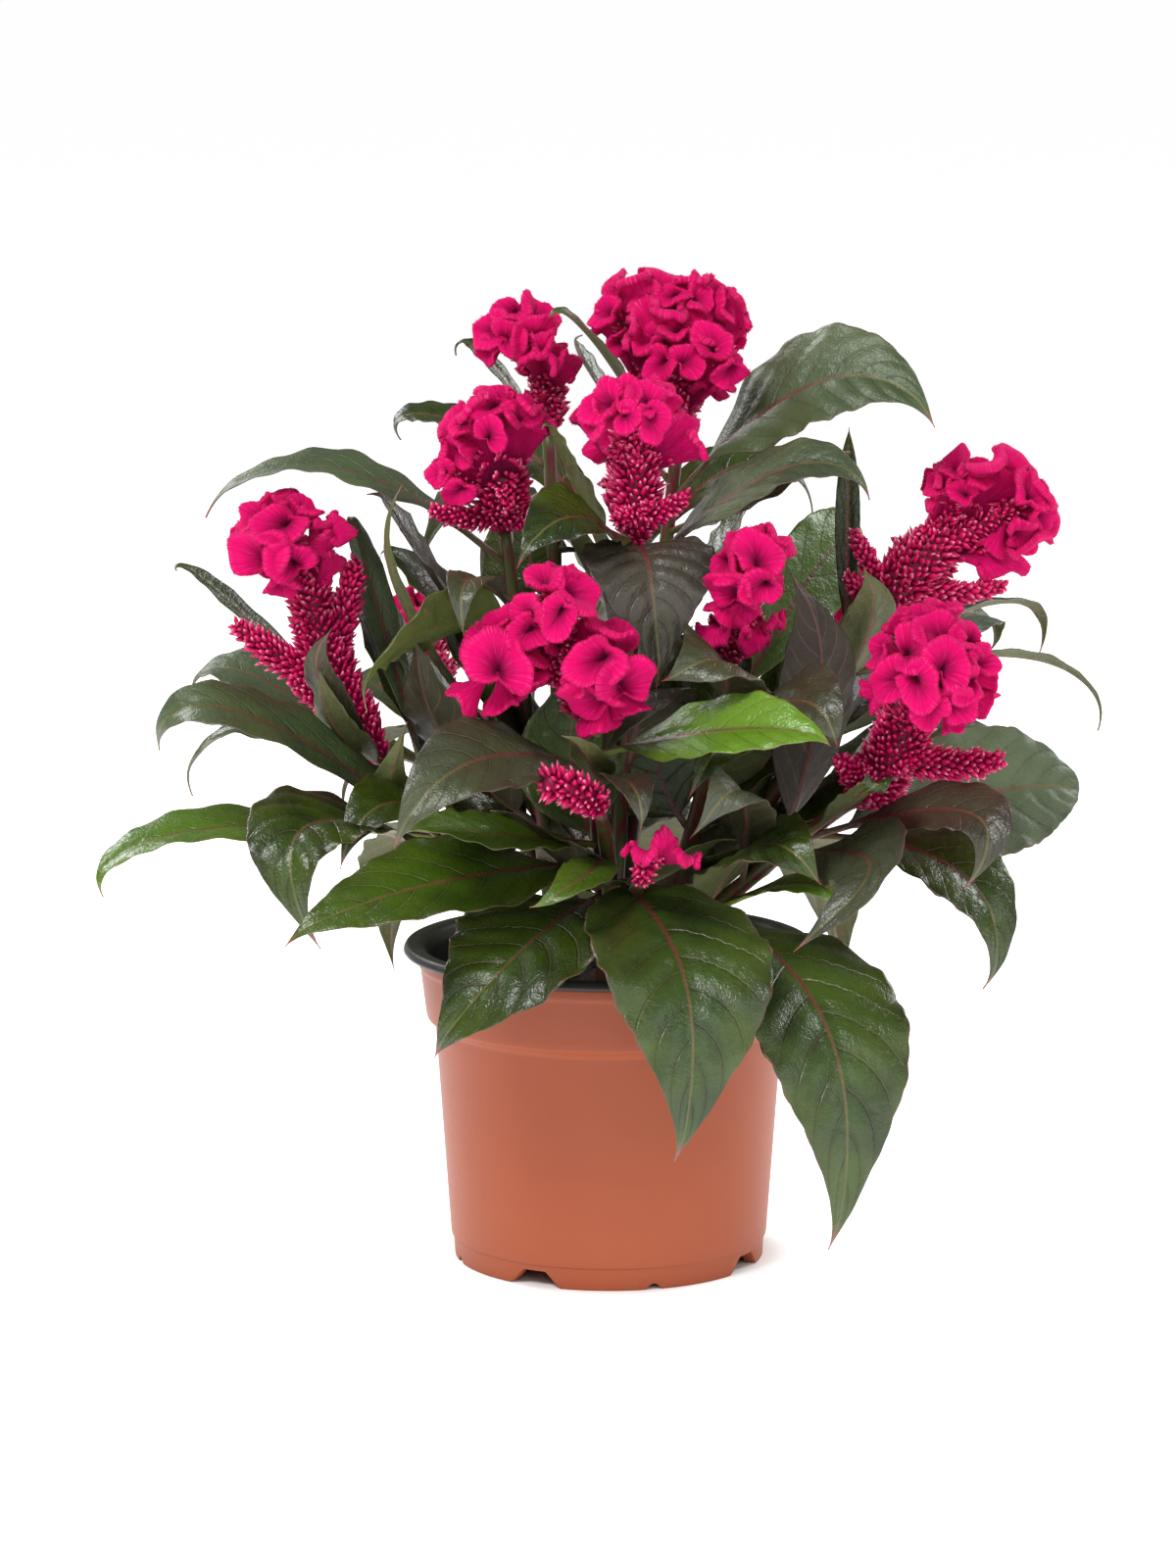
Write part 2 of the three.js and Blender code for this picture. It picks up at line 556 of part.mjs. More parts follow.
function soilPlug() {
  const inset = WALL + GAP + 1 + GAP;
  const wall = innerWall(inset, FOOT_HEIGHT + 2 * GAP + 1, SOIL_TOP - 1.5);
  const plug = turned([[0, FOOT_HEIGHT + 2 * GAP + 1], ...wall, [30, SOIL_TOP + 0.6], [0, SOIL_TOP]]);
  const holes = Object.values(ROOTS).map(([x, y]) => {
    const hole = new THREE.CylinderGeometry(CROWN_RADIUS + GAP, CROWN_RADIUS + GAP, 2 * HOLE_DEPTH, 12);
    hole.rotateX(Math.PI / 2);
    hole.translate(x, y, SOIL_TOP);
    return solidOf(hole);
  });
  return holes.reduce((soil, hole) => soil.subtract(hole), solidOf(plug));
}

// ---- Stems and leaves --------------------------------------------------------------------------
function branchCurve(name) {
  const [plant, middle, tip] = BRANCHES[name];
  const [x, y] = ROOTS[plant];
  return arcThrough(new THREE.Vector3(x, y, FORK_HEIGHT), vec(middle), vec(tip));
}

function stem(curve) {
  const radiusAt = (i, k, t) => [THREE.MathUtils.lerp(STEM_FOOT_RADIUS, STEM_TIP_RADIUS, t), 0];
  return tube(curve, STEM_STEPS, STEM_SIDES, radiusAt);
}

// Half the width of a leaf along its midrib: a short stalk, widest at two fifths, then a drawn-out point.
function halfWidth(t, width) {
  const u = Math.max(0, (t - 0.1) / 0.9);
  const outline = 4.42 * Math.pow(u, 0.8) * Math.pow(1 - u, 1.5);
  return Math.max(LEAST_HALF_WIDTH, 0.5 * width * outline);
}

// A leaf blade: two halves folded up from the midrib, with waved margins. The waves start at another
// point on each leaf.
function leaf([branch, at, middle, tip, width, roll, fold], index) {
  const start = branchCurve(branch).getPoint(at);
  const curve = arcThrough(start, vec(middle), vec(tip));
  const heading = curve.v2.clone().sub(start).setZ(0).normalize();
  const level = cross(heading, new THREE.Vector3(0, 0, 1));
  const grid = LEAF_GRIDS.find((size) => width <= size.width);
  const upper = [];
  const lower = [];
  for (const t of grid.along) {
    const tangent = curve.getTangent(t);
    const flat = along(level, [tangent, -level.dot(tangent)]).normalize();
    const face = cross(flat, tangent);
    const turn = radians(roll) * smooth(t, 0, 0.3);
    const side = along(new THREE.Vector3(), [flat, Math.cos(turn)], [face, Math.sin(turn)]);
    const normal = cross(side, tangent);
    const half = halfWidth(t, width);
    const row = grid.across.map((q) => {
      const phase = 2 * Math.PI * (MARGIN_WAVES * t + 0.37 * index) + (q > 0 ? 1.7 : 0);
      const folded = Math.abs(q) * Math.sin(radians(fold)) * (1 - 0.35 * Math.abs(q));
      const rise = half * (folded + MARGIN_WAVE * q * q * Math.sin(phase));
      return along(curve.getPoint(t), [side, q * half * Math.cos(radians(fold))], [normal, rise]);
    });
    upper.push(row.map((p) => along(p, [normal, BLADE / 2])));
    lower.push(row.map((p) => along(p, [normal, -BLADE / 2])));
  }
  return sheet(lower, upper);
}

// ---- Flower heads ------------------------------------------------------------------------------
// A column or plume of florets: a round body whose surface stands out in rows of little pyramids.
function plume(curve, radius, profile) {
  const steps = Math.max(3, Math.round(curve.getLength() / FLORET_PITCH));
  const count = radius > WIDE_PLUME ? 8 : 6;
  return tube(curve, steps, count, (i, k, t) => {
    const body = radius * profile(t);
    const raised = i > 0 && i < steps && (i + k) % 2 === 1;
    return raised ? [body + FLORET_RISE, FLORET_TILT] : [body - FLORET_VALLEY, 0];
  });
}

const columnProfile = (t) => 0.45 + 0.55 * smooth(t, 0, 0.25) - 0.15 * smooth(t, 0.7, 1);
const spikeProfile = (t) => 0.45 + 0.55 * Math.sqrt(Math.max(0, 1 - t * t));

function columnCurve(name) {
  const stemCurve = branchCurve(name);
  const tangent = stemCurve.getTangent(1);
  const foot = along(stemCurve.getPoint(1), [tangent, GAP]);
  const neck = vec(HEADS[name].neck);
  return new THREE.QuadraticBezierCurve3(foot, along(foot, [tangent, foot.distanceTo(neck) / 2]), neck);
}

// A crest: a sheet that leaves the neck gathered and flares to a rim that winds about a spine.
function crest([waves, depth, rootPoint, spinePoints]) {
  const root = vec(rootPoint);
  const spine = new THREE.CatmullRomCurve3(spinePoints.map(vec), false, 'catmullrom', 0.5);
  const centre = spinePoints.map(vec).reduce((sum, p) => sum.add(p)).divideScalar(spinePoints.length);
  const point = (s, v) => {
    const onSpine = spine.getPoint(s);
    const tangent = spine.getTangent(s);
    const away = unit(onSpine.clone().sub(root));
    const side = cross(tangent, away).normalize();
    const lift = 1 - Math.pow(1 - v, CREST_LIFT);
    const spread = 1 - (1 - CREST_GATHER) * Math.pow(1 - v, 3);
    const lobe = LOBE_SIZE * depth * Math.pow(v, LOBE_FLARE) * (1 + 0.2 * Math.sin(11 * s + waves));
    const swing = lobe * Math.sin(2 * Math.PI * waves * s);
    const loop = -0.5 * lobe * Math.sin(4 * Math.PI * waves * s);
    const middle = root.clone().lerp(centre, lift);
    return along(middle, [onSpine, spread], [centre, -spread], [side, swing], [tangent, loop]);
  };
  const columns = Math.ceil(waves * STEPS_PER_WAVE);
  const step = 0.01;
  const upper = [];
  const lower = [];
  for (let i = 0; i <= columns + 1; i += 1) {
    const s = THREE.MathUtils.clamp((i - 0.5) / columns, 0, 1);
    const [up, low] = [[], []];
    for (const v of CREST_ROWS) {
      const acrossSheet = point(Math.min(1, s + step), v).sub(point(Math.max(0, s - step), v));
      const alongSheet = point(s, Math.min(1, v + step)).sub(point(s, Math.max(0, v - step)));
      const normal = cross(acrossSheet, alongSheet).normalize();
      const half = THREE.MathUtils.lerp(CREST_THICKNESS, RIM_THICKNESS, v) / 2;
      up.push(along(point(s, v), [normal, half]));
      low.push(along(point(s, v), [normal, -half]));
    }
    upper.push(up);
    lower.push(low);
  }
  return sheet(upper, lower);
}

// What carries a cluster: a stalk from the column to its heart, and a knob there that joins its fans.
function stalk(start, heart) {
  const knob = new THREE.OctahedronGeometry(KNOB_RADIUS).translate(...heart.toArray());
  return [tube(new THREE.LineCurve3(start, heart), 1, 4, () => [STALK_RADIUS, 0]), knob];
}

// A fan: a solid trumpet that widens from the heart to a dished mouth, whose rim has one deep notch.
function fan(heart, mouth, radius, turn) {
  const axis = unit(mouth.clone().sub(heart));
  const [first, second] = sides(axis, axis);
  const points = [];
  for (const [out, lift] of FAN_RINGS) {
    for (let k = 0; k < FAN_SIDES; k += 1) {
      const angle = (2 * Math.PI * k) / FAN_SIDES;
      const notch = FAN_NOTCH * Math.exp(-Math.pow(Math.min(angle, 2 * Math.PI - angle) / NOTCH_ANGLE, 2));
      const size = radius * out * (1 + FAN_WAVE * Math.sin(2 * angle + turn) - notch);
      const [across, up] = [size * Math.cos(angle + turn), size * Math.sin(angle + turn)];
      points.push(along(mouth, [first, across], [second, up], [axis, lift * radius]));
    }
  }
  points.push(heart.clone(), along(mouth, [axis, -FAN_DEPTH * radius]));
  const at = (ring, k) => ring * FAN_SIDES + (k % FAN_SIDES);
  const triangles = [];
  for (let k = 0; k < FAN_SIDES; k += 1) {
    triangles.push([points.length - 2, at(0, k + 1), at(0, k)]);
    for (let ring = 0; ring < FAN_RINGS.length - 1; ring += 1) {
      const [a, b, c, d] = [at(ring, k), at(ring, k + 1), at(ring + 1, k + 1), at(ring + 1, k)];
      triangles.push([a, b, c], [a, c, d]);
    }
    triangles.push([points.length - 1, at(FAN_RINGS.length - 1, k), at(FAN_RINGS.length - 1, k + 1)]);
  }
  return geometryOf(points, triangles);
}

// The fans of a cluster stand on half an ellipsoid about its heart.
function fansOf([heartPoint, span, reach, rows]) {
  const heart = vec(heartPoint);
  return rows.flatMap(([x, z, radius], index) => {
    if (radius < LEAST_FAN) return [];
    const [dx, dz] = rows === BACK_FANS ? [x, z] : [x - heart.x, z - heart.z];
    const share = Math.hypot(dx, dz) / span;
    const forward = reach * Math.sqrt(Math.max(0, 1 - share * share));
    const mouth = along(heart, [vec([dx, -forward, dz]), 1]);
    return fan(heart, mouth, radius, FAN_TURN * index);
  });
}

function flowerHead(name) {
  const { column, crests, clusters, plumes } = HEADS[name];
  const middle = columnCurve(name);
  const stalks = clusters.flatMap(([heart]) => stalk(middle.getPoint(STALK_START), vec(heart)));
  const sidePlumes = plumes.map(([at, end, radius]) => {
    const start = middle.getPoint(at);
    const bend = along(start.clone().lerp(vec(end), 0.5), [new THREE.Vector3(0, 0, 1), -2]);
    return plume(arcThrough(start, bend, vec(end)), radius, spikeProfile);
  });
  const blooms = [...crests.map(crest), ...clusters.flatMap(fansOf)];
  return fuse([plume(middle, column, columnProfile), ...stalks, ...blooms, ...sidePlumes]);
}

function plantBody(name) {
  const [x, y] = ROOTS[name];
  const branches = Object.keys(BRANCHES).filter((branch) => BRANCHES[branch][0] === name);
  const foot = new THREE.Vector3(x, y, SOIL_TOP - HOLE_DEPTH + GAP);
  const crown = tube(new THREE.LineCurve3(foot, new THREE.Vector3(x, y, CROWN_TOP)), 1, 8, () => [CROWN_RADIUS, 0]);
  const leaves = Object.values(LEAVES).map((row, index) => ({ row, index }))
    .filter(({ row }) => branches.includes(row[0]))
    .map(({ row, index }) => leaf(row, index));
  return fuse([crown, ...branches.map((branch) => stem(branchCurve(branch))), ...leaves]);
}

// ---- The whole object --------------------------------------------------------------------------
const celosia = new THREE.Group();
celosia.add(named('pot', outerShell(potBody()), TERRACOTTA));
celosia.add(named('pot_lining', potLining(), BLACK_PLASTIC));
celosia.add(named('soil', outerShell(soilPlug()), PEAT));
for (const plant of Object.keys(ROOTS)) {
  celosia.add(named(`plant_${plant}`, outerShell(plantBody(plant)), FOLIAGE));
}
for (const head of Object.keys(HEADS)) {
  celosia.add(named(`head_${head}`, outerShell(flowerHead(head)), CREST));
}

export default celosia;
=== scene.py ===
# %% [markdown]
# # A cockscomb celosia in its nursery pot
#
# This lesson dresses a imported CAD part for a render. The CAD part has the right sizes and places, but
# flat facets and plain colours. Each of its nodes is replaced here by a finer piece of the same form: a
# smooth moulded pot, crumbly soil, leaves with veins and waved margins, and velvet crests over columns of
# bristly florets. Every shape is worked out with numpy from the same few numbers as the CAD solids.

import bpy
import numpy as np
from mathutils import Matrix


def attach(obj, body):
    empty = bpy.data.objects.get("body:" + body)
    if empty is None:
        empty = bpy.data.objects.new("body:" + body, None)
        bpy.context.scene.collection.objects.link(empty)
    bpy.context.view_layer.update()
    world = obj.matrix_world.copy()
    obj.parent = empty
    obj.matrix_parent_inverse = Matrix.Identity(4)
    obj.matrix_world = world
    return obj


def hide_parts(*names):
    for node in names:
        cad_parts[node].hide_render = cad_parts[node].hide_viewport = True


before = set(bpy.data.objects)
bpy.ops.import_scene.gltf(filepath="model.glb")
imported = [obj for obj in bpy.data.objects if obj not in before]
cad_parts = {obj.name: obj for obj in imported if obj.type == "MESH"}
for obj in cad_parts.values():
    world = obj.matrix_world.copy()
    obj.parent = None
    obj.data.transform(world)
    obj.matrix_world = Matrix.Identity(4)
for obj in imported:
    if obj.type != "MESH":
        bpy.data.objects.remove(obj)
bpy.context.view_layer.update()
MM = 0.001

# %% [markdown]
# ## Grids of points
#
# A leaf, a crest, a stem and a pot wall are all the same thing to Blender: a grid of points joined by
# four-sided faces. One piece often needs many grids, so a small collector gathers their points, faces,
# UVs and tints, and makes one mesh at the end. `foreach_set` fills the mesh from whole arrays at once,
# which takes a fraction of the time of a loop over vertices. Two more helpers close the ends of a stack of
# rings and give the quadratic curve that stems, midribs and rounded corners all follow.


# %% Small array helpers
def unit(vectors):
    """Each vector divided by its own length."""
    return vectors / np.maximum(np.linalg.norm(vectors, axis=-1, keepdims=True), 1e-12)


def ease(x, low, high):
    """0 below low, 1 above high, and 3k^2 - 2k^3 between them, with k the share of the way."""
    k = np.clip((x - low) / (high - low), 0, 1)
    return k * k * (3 - 2 * k)


def grid_faces(rows, columns, wrap=False):
    """The corners of each face of a grid; wrap joins the last column to the first.

    A face looks towards (column direction) x (row direction).
    """
    i, j = np.meshgrid(np.arange(rows - 1), np.arange(columns if wrap else columns - 1), indexing="ij")
    i, j = i.ravel(), j.ravel()
    k = (j + 1) % columns
    return np.stack([i * columns + j, i * columns + k, (i + 1) * columns + k, (i + 1) * columns + j], 1)


def closed_ends(rings, poles=None):
    """Points and faces of a stack of rings whose two ends close on the poles, or on their own middles."""
    rows, sides = rings.shape[:2]
    points = np.concatenate([rings.reshape(-1, 3), rings[[0, -1]].mean(1) if poles is None else poles])
    here = np.arange(sides)
    after, last, pole = (here + 1) % sides, (rows - 1) * sides, rows * sides
    low = np.stack([np.full(sides, pole), after, here], 1)
    high = np.stack([np.full(sides, pole + 1), last + here, last + after], 1)
    return points, [grid_faces(rows, sides, wrap=True), low, high]


def bezier(start, control, end, share):
    """Points and unit tangents of the quadratic curve (1 - t)^2 start + 2 t (1 - t) control + t^2 end, at
    each share t of it."""
    t = np.asarray(share, float)[..., None]
    points = (1 - t) ** 2 * start + 2 * t * (1 - t) * control + t**2 * end
    return points, unit((1 - t) * (control - start) + t * (end - control))


print("faces of a 3 by 4 grid:", len(grid_faces(3, 4)), "and wrapped:", len(grid_faces(3, 4, wrap=True)))


# %% The collector of grids
class Piece:
    """Gathers grids of points in millimetres and makes one mesh object in metres."""

    def __init__(self, name):
        self.name = name
        self.points, self.uvs, self.tints, self.faces, self.marks = [], [], [], [], []
        self.finishes = []
        self.count = 0

    def add(self, points, faces, finish, uv=(0, 0, 0, 0), tint=(0, 0, 0, 0)):
        """Adds points and arrays of faces, and for each point, or one for all, two UV pairs and a tint."""
        points = np.asarray(points, float).reshape(-1, 3)
        self.points.append(points)
        self.uvs.append(np.broadcast_to(np.asarray(uv, float).reshape(-1, 4), (len(points), 4)))
        self.tints.append(np.broadcast_to(np.asarray(tint, float).reshape(-1, 4), (len(points), 4)))
        if finish not in self.finishes:
            self.finishes.append(finish)
        for group in faces:
            self.faces.append(group + self.count)
            self.marks.append(np.full(len(group), self.finishes.index(finish)))
        self.count += len(points)

    def make(self, slot, *nodes):
        """Builds the mesh, rides it on the body and lets it stand for the CAD nodes."""
        sizes = np.concatenate([np.full(len(group), group.shape[1]) for group in self.faces])
        corners = np.concatenate([group.ravel() for group in self.faces]).astype(np.int32)
        mesh = bpy.data.meshes.new(self.name)
        mesh.vertices.add(self.count)
        mesh.vertices.foreach_set("co", (np.concatenate(self.points) * MM).astype(np.float32).ravel())
        mesh.loops.add(len(corners))
        mesh.loops.foreach_set("vertex_index", corners)
        mesh.polygons.add(len(sizes))
        mesh.polygons.foreach_set("loop_start", (np.cumsum(sizes) - sizes).astype(np.int32))
        mesh.polygons.foreach_set("material_index", np.concatenate(self.marks).astype(np.int32))
        mesh.polygons.foreach_set("use_smooth", np.ones(len(sizes), bool))
        uvs = np.concatenate(self.uvs)[corners]
        for name, pair in (("shape", uvs[:, :2]), ("size", uvs[:, 2:])):
            mesh.uv_layers.new(name=name)
            mesh.uv_layers[name].data.foreach_set("uv", pair.ravel())
        mesh.attributes.new("tint", "FLOAT_COLOR", "POINT")
        mesh.attributes["tint"].data.foreach_set("color", np.concatenate(self.tints).ravel())
        mesh.update(calc_edges=True)
        for finish in self.finishes:
            mesh.materials.append(finish)
        made = bpy.data.objects.new(self.name, mesh)
        bpy.context.scene.collection.objects.link(made)
        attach(made, "root")
        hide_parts(*nodes)
        print(f"{self.name}: {int((sizes - 2).sum())} triangles")


# %% [markdown]
# ## Shader maths
#
# A material's pattern is a formula: stripes, veins and speckles are sums and products of coordinates and
# noise. Written as nodes one by one it is unreadable, so `Term` wraps a node's output and overloads the
# operators, and an ordinary expression adds the Math nodes. `Finish` holds one material, and its method
# `node` adds any other node with its settings and inputs. The rest of its methods are short names for the
# few nodes that every finish here uses.


# %% Terms and finishes
class Term:
    """A number that varies over a surface: the output socket of a node in one finish."""

    def __init__(self, finish, socket):
        self.finish, self.socket = finish, socket

    def math(self, operation, *others):
        """A Math node on this term and the others."""
        inputs = dict(enumerate((self, *others)))
        return self.finish.term("ShaderNodeMath", {"operation": operation}, inputs)

    def __add__(self, other):
        return self.math("ADD", other)

    def __sub__(self, other):
        return self.math("SUBTRACT", other)

    def __rsub__(self, other):
        return self.math("MULTIPLY_ADD", -1.0, other)

    def __mul__(self, other):
        return self.math("MULTIPLY", other)

    def __pow__(self, other):
        return self.math("POWER", other)

    def __abs__(self):
        return self.math("ABSOLUTE")

    __radd__, __rmul__ = __add__, __mul__

    def fract(self):
        """The part after the decimal point."""
        return self.math("FRACT")

    def ramp(self, low, high):
        """0 at low and 1 at high and flat beyond them, smoothly, whichever of the two is larger."""
        settings = {"interpolation_type": "SMOOTHSTEP"}
        inputs = {"Value": self, "From Min": low, "From Max": high}
        return self.finish.term("ShaderNodeMapRange", settings, inputs)


class Finish:
    """A material with one Principled shader. Constants are set on its sockets, and patterns come from
    node() and the methods after it."""

    def __init__(self, name, **constants):
        self.material = bpy.data.materials.new(name)
        self.material.use_nodes = True
        self.tree = self.material.node_tree
        self.shader = self.tree.nodes["Principled BSDF"]
        for socket, value in constants.items():
            self.shader.inputs[socket.replace("_", " ")].default_value = value

    def node(self, kind, settings=None, inputs=None):
        """A node of a kind, with its settings and the values or links of its sockets."""
        made = self.tree.nodes.new(kind)
        for key, value in (settings or {}).items():
            setattr(made, key, value)
        for key, value in (inputs or {}).items():
            self.feed(made.inputs[key], value)
        return made

    def feed(self, socket, value):
        """Links a term or an output socket to a socket, or sets its value."""
        value = value.socket if isinstance(value, Term) else value
        if isinstance(value, bpy.types.NodeSocket):
            self.tree.links.new(value, socket)
        else:
            socket.default_value = value

    def term(self, kind, settings=None, inputs=None, output=0):
        """The chosen output of a new node, as a term."""
        return Term(self, self.node(kind, settings, inputs).outputs[output])

    def mix(self, share, low, high):
        """The colour low where share is 0 and high where it is 1."""
        inputs = {0: share, 6: low, 7: high}
        return self.node("ShaderNodeMix", {"data_type": "RGBA"}, inputs).outputs[2]

    def layers(self, colour, *coats):
        """A colour under coats of others: each coat is its share and its colour."""
        for share, coat in coats:
            colour = self.mix(share, colour, coat)
        return colour

    def split(self, vector):
        """The three numbers of a vector or colour."""
        made = self.node("ShaderNodeSeparateXYZ", {}, {0: vector})
        return [Term(self, made.outputs[k]) for k in range(3)]

    def place(self):
        """The place on the object, in metres: Object coordinates."""
        return self.node("ShaderNodeTexCoord").outputs["Object"]

    def uv(self, layer):
        """The pair of numbers that a UV layer of the piece holds."""
        return self.split(self.node("ShaderNodeUVMap", {"uv_map": layer}).outputs[0])[:2]

    def join(self, x, y, z):
        """A vector of three numbers."""
        return self.node("ShaderNodeCombineXYZ", {}, {0: x, 1: y, 2: z}).outputs[0]

    def noise(self, vector, scale, detail=2.0, roughness=0.5):
        """Soft random values around one half."""
        inputs = {"Vector": vector, "Scale": scale, "Detail": detail, "Roughness": roughness}
        return self.term("ShaderNodeTexNoise", {}, inputs)

    def relief(self, height, distance, strength):
        """Relief by a Bump node: a height of 1 stands a distance in metres above a height of 0."""
        inputs = {"Height": height, "Distance": distance, "Strength": strength}
        self.feed(self.shader.inputs["Normal"], self.node("ShaderNodeBump", {}, inputs).outputs[0])

    def dress(self, colour, roughness):
        """Feeds the shader its colour and roughness, and returns the finished material."""
        self.feed(self.shader.inputs["Base Color"], colour)
        self.feed(self.shader.inputs["Roughness"], roughness)
        return self.material


def shade(red, green, blue):
    """A colour given as 0 to 255 on a screen, as the linear values that shaders take."""
    share = np.array([red, green, blue]) / 255
    linear = np.where(share <= 0.04045, share / 12.92, ((share + 0.055) / 1.055) ** 2.4)
    return (*(float(c) for c in linear), 1.0)


print("middle grey as a linear value:", round(shade(128, 128, 128)[0], 3))


# %% [markdown]
# ## Studio
#
# The plant stands on a pale floor in a bright, soft studio. Large area lights from the front give the
# leaves their silvery gleam, and two from behind light the rims of the crests. The world is almost white to
# the camera but gives little light, because more of it would wash out the shade between the leaves. A Light
# Path node tells the two uses apart. The floor glows a little for the same reason: it becomes nearly white
# without brighter lamps. It doesn't glow beneath the pot, which paints a soft shadow for the pot to stand in.
# The camera looks slightly down from the front, far away and with a long lens, so that verticals stay
# upright.

# %% Camera
CAMERA_PLACE = (-6.64, -1600.0, 419.4)
CAMERA_PITCH_DOWN = 0.166
FOCAL_PIXELS = 5260
IMAGE_HEIGHT = 1600
SENSOR = 36.0

camera = bpy.data.objects.new("camera", bpy.data.cameras.new("camera"))
bpy.context.scene.collection.objects.link(camera)
camera.location = [c * MM for c in CAMERA_PLACE]
camera.rotation_euler = (np.pi / 2 - CAMERA_PITCH_DOWN, 0, 0)
camera.data.sensor_width = SENSOR
camera.data.lens = SENSOR * FOCAL_PIXELS / IMAGE_HEIGHT
camera.data.clip_end = 100
bpy.context.scene.camera = camera
print("lens, mm:", round(camera.data.lens, 1))

# %% Floor
FLOOR_SIZE = 60
FLOOR_GLOW = 0.81
GLOW_START, GLOW_FULL = 0.044, 0.068
BLACK, PALE_GREY, WHITE = (0, 0, 0, 1), (0.9, 0.9, 0.9, 1), (1, 1, 1, 1)


def add_floor():
    """A square of the floor's size in metres at height zero, pale and matt. Its glow grows from none at one
    distance from the pot's axis to full at another, which paints a soft shadow round the pot."""
    half = FLOOR_SIZE / 2
    mesh = bpy.data.meshes.new("floor")
    corners = [(-half, -half, 0), (half, -half, 0), (half, half, 0), (-half, half, 0)]
    mesh.from_pydata(corners, [], [(0, 1, 2, 3)])
    floor = bpy.data.objects.new("floor", mesh)
    bpy.context.scene.collection.objects.link(floor)
    finish = Finish("pale_floor", Base_Color=PALE_GREY, Roughness=0.9, Emission_Strength=FLOOR_GLOW)
    reach = finish.term("ShaderNodeVectorMath", {"operation": "LENGTH"}, {0: finish.place()}, output=1)
    # Painted shadow: the glow is black within GLOW_START of the pot's axis and full beyond GLOW_FULL.
    glow = finish.mix(reach.ramp(GLOW_START, GLOW_FULL), BLACK, WHITE)
    finish.feed(finish.shader.inputs["Emission Color"], glow)
    mesh.materials.append(finish.material)


add_floor()
print("floor:", FLOOR_SIZE, "m wide")

# %% World and lights
SKY_SEEN, SKY_LIGHT = 0.985, 0.2

# Each light's place and aim in metres, its size in metres and its power in watts.
SOFTBOXES = {
    "key": [(-0.7, -1.0, 1.4), (0, 0, 0.18), 0.5, 25],
    "front": [(0.15, -1.5, 0.75), (0, 0, 0.15), 0.8, 5],
    "fill": [(1.2, -0.9, 0.7), (0, 0, 0.16), 0.7, 5],
    "back_left": [(-1.0, 0.9, 1.1), (0, 0, 0.2), 0.7, 18],
    "back_right": [(1.1, 0.8, 1.0), (0, 0, 0.2), 0.7, 16],
}


def add_world():
    """A white world whose strength is one number for what the camera sees and another for light."""
    world = bpy.data.worlds.new("studio")
    world.use_nodes = True
    sky = world.node_tree.nodes["Background"]
    sky.inputs["Color"].default_value = WHITE
    rays = world.node_tree.nodes.new("ShaderNodeLightPath")
    level = world.node_tree.nodes.new("ShaderNodeMapRange")
    level.inputs["To Min"].default_value = SKY_LIGHT
    level.inputs["To Max"].default_value = SKY_SEEN
    world.node_tree.links.new(rays.outputs["Is Camera Ray"], level.inputs["Value"])
    world.node_tree.links.new(level.outputs[0], sky.inputs["Strength"])
    bpy.context.scene.world = world


def add_softbox(name, place, aim, size, power):
    """A square area light at a place, turned towards a point: its own -Z axis looks there."""
    light = bpy.data.objects.new(name, bpy.data.lights.new(name, "AREA"))
    light.data.size, light.data.energy = size, power
    light.location = place
    toward = np.array(aim) - np.array(place)
    yaw = np.arctan2(toward[1], toward[0]) - np.pi / 2
    pitch = np.arctan2(toward[2], np.hypot(toward[0], toward[1])) + np.pi / 2
    light.rotation_euler = (pitch, 0, yaw)
    bpy.context.scene.collection.objects.link(light)


add_world()
bpy.context.scene.view_settings.view_transform = "Standard"
for name, row in SOFTBOXES.items():
    add_softbox(name, *row)
print("lights:", list(SOFTBOXES), "power in all, W:", sum(row[-1] for row in SOFTBOXES.values()))

# %% [markdown]
# ## Pot
#
# A nursery pot is moulded plastic: a tapered body under a wider collar, on a foot ring with drainage
# notches. Turning a profile about the axis gives all of it but the notches. Each notch lifts the lower
# edge of the ring, so the ring's rows are squeezed up to a height that depends on the angle, and the gap
# goes right through without a Boolean. In the profiles, small numbers added to the named sizes are the
# steps and chamfers of the mould, in millimetres.

# %% Sizes of the pot
POT_SIDES = 240
FOOT_RADIUS, FOOT_HEIGHT, FOOT_RING = 49, 7, 4
WALL, LINING_WALL = 1.3, 1
BODY_BOTTOM_RADIUS, BODY_TOP_RADIUS, BODY_TOP = 50.3, 55, 76
COLLAR_BOTTOM_RADIUS, COLLAR_TOP_RADIUS, COLLAR_TOP = 58, 60, 97.5
LIP_RADIUS, LIP_TOP, LIP_THICKNESS = 65, 101, 1.5
GAP = 0.3
NOTCH_TURNS = np.radians([-90, 0, 90, 180])
BIG_NOTCH = {"turn": np.radians(-28.5), "bottom": 17, "top": 8, "height": 5}
SMALL_NOTCH = {"turn": np.radians(16.5), "radius": 1.9}
print("pot, mm: rim", 2 * LIP_RADIUS, "wide,", LIP_TOP, "high")


# %% Profiles with rounded corners, turned about the axis
def rounded(corners, radius, steps=4):
    """A profile whose inner corners become arcs: quadratic curves from one side of a corner to the other,
    with the corner as control point and each end a radius away, or at most 0.45 of the side."""
    corners = np.asarray(corners, float)
    points = [corners[:1]]
    for before, corner, after in zip(corners[:-2], corners[1:-1], corners[2:]):
        ends = []
        for other in (before, after):
            side = np.linalg.norm(other - corner)
            ends.append(corner + (other - corner) * min(radius / side, 0.45))
        points.append(bezier(ends[0], corner, ends[1], np.linspace(0, 1, steps + 1))[0])
    points.append(corners[-1:])
    return np.concatenate(points)


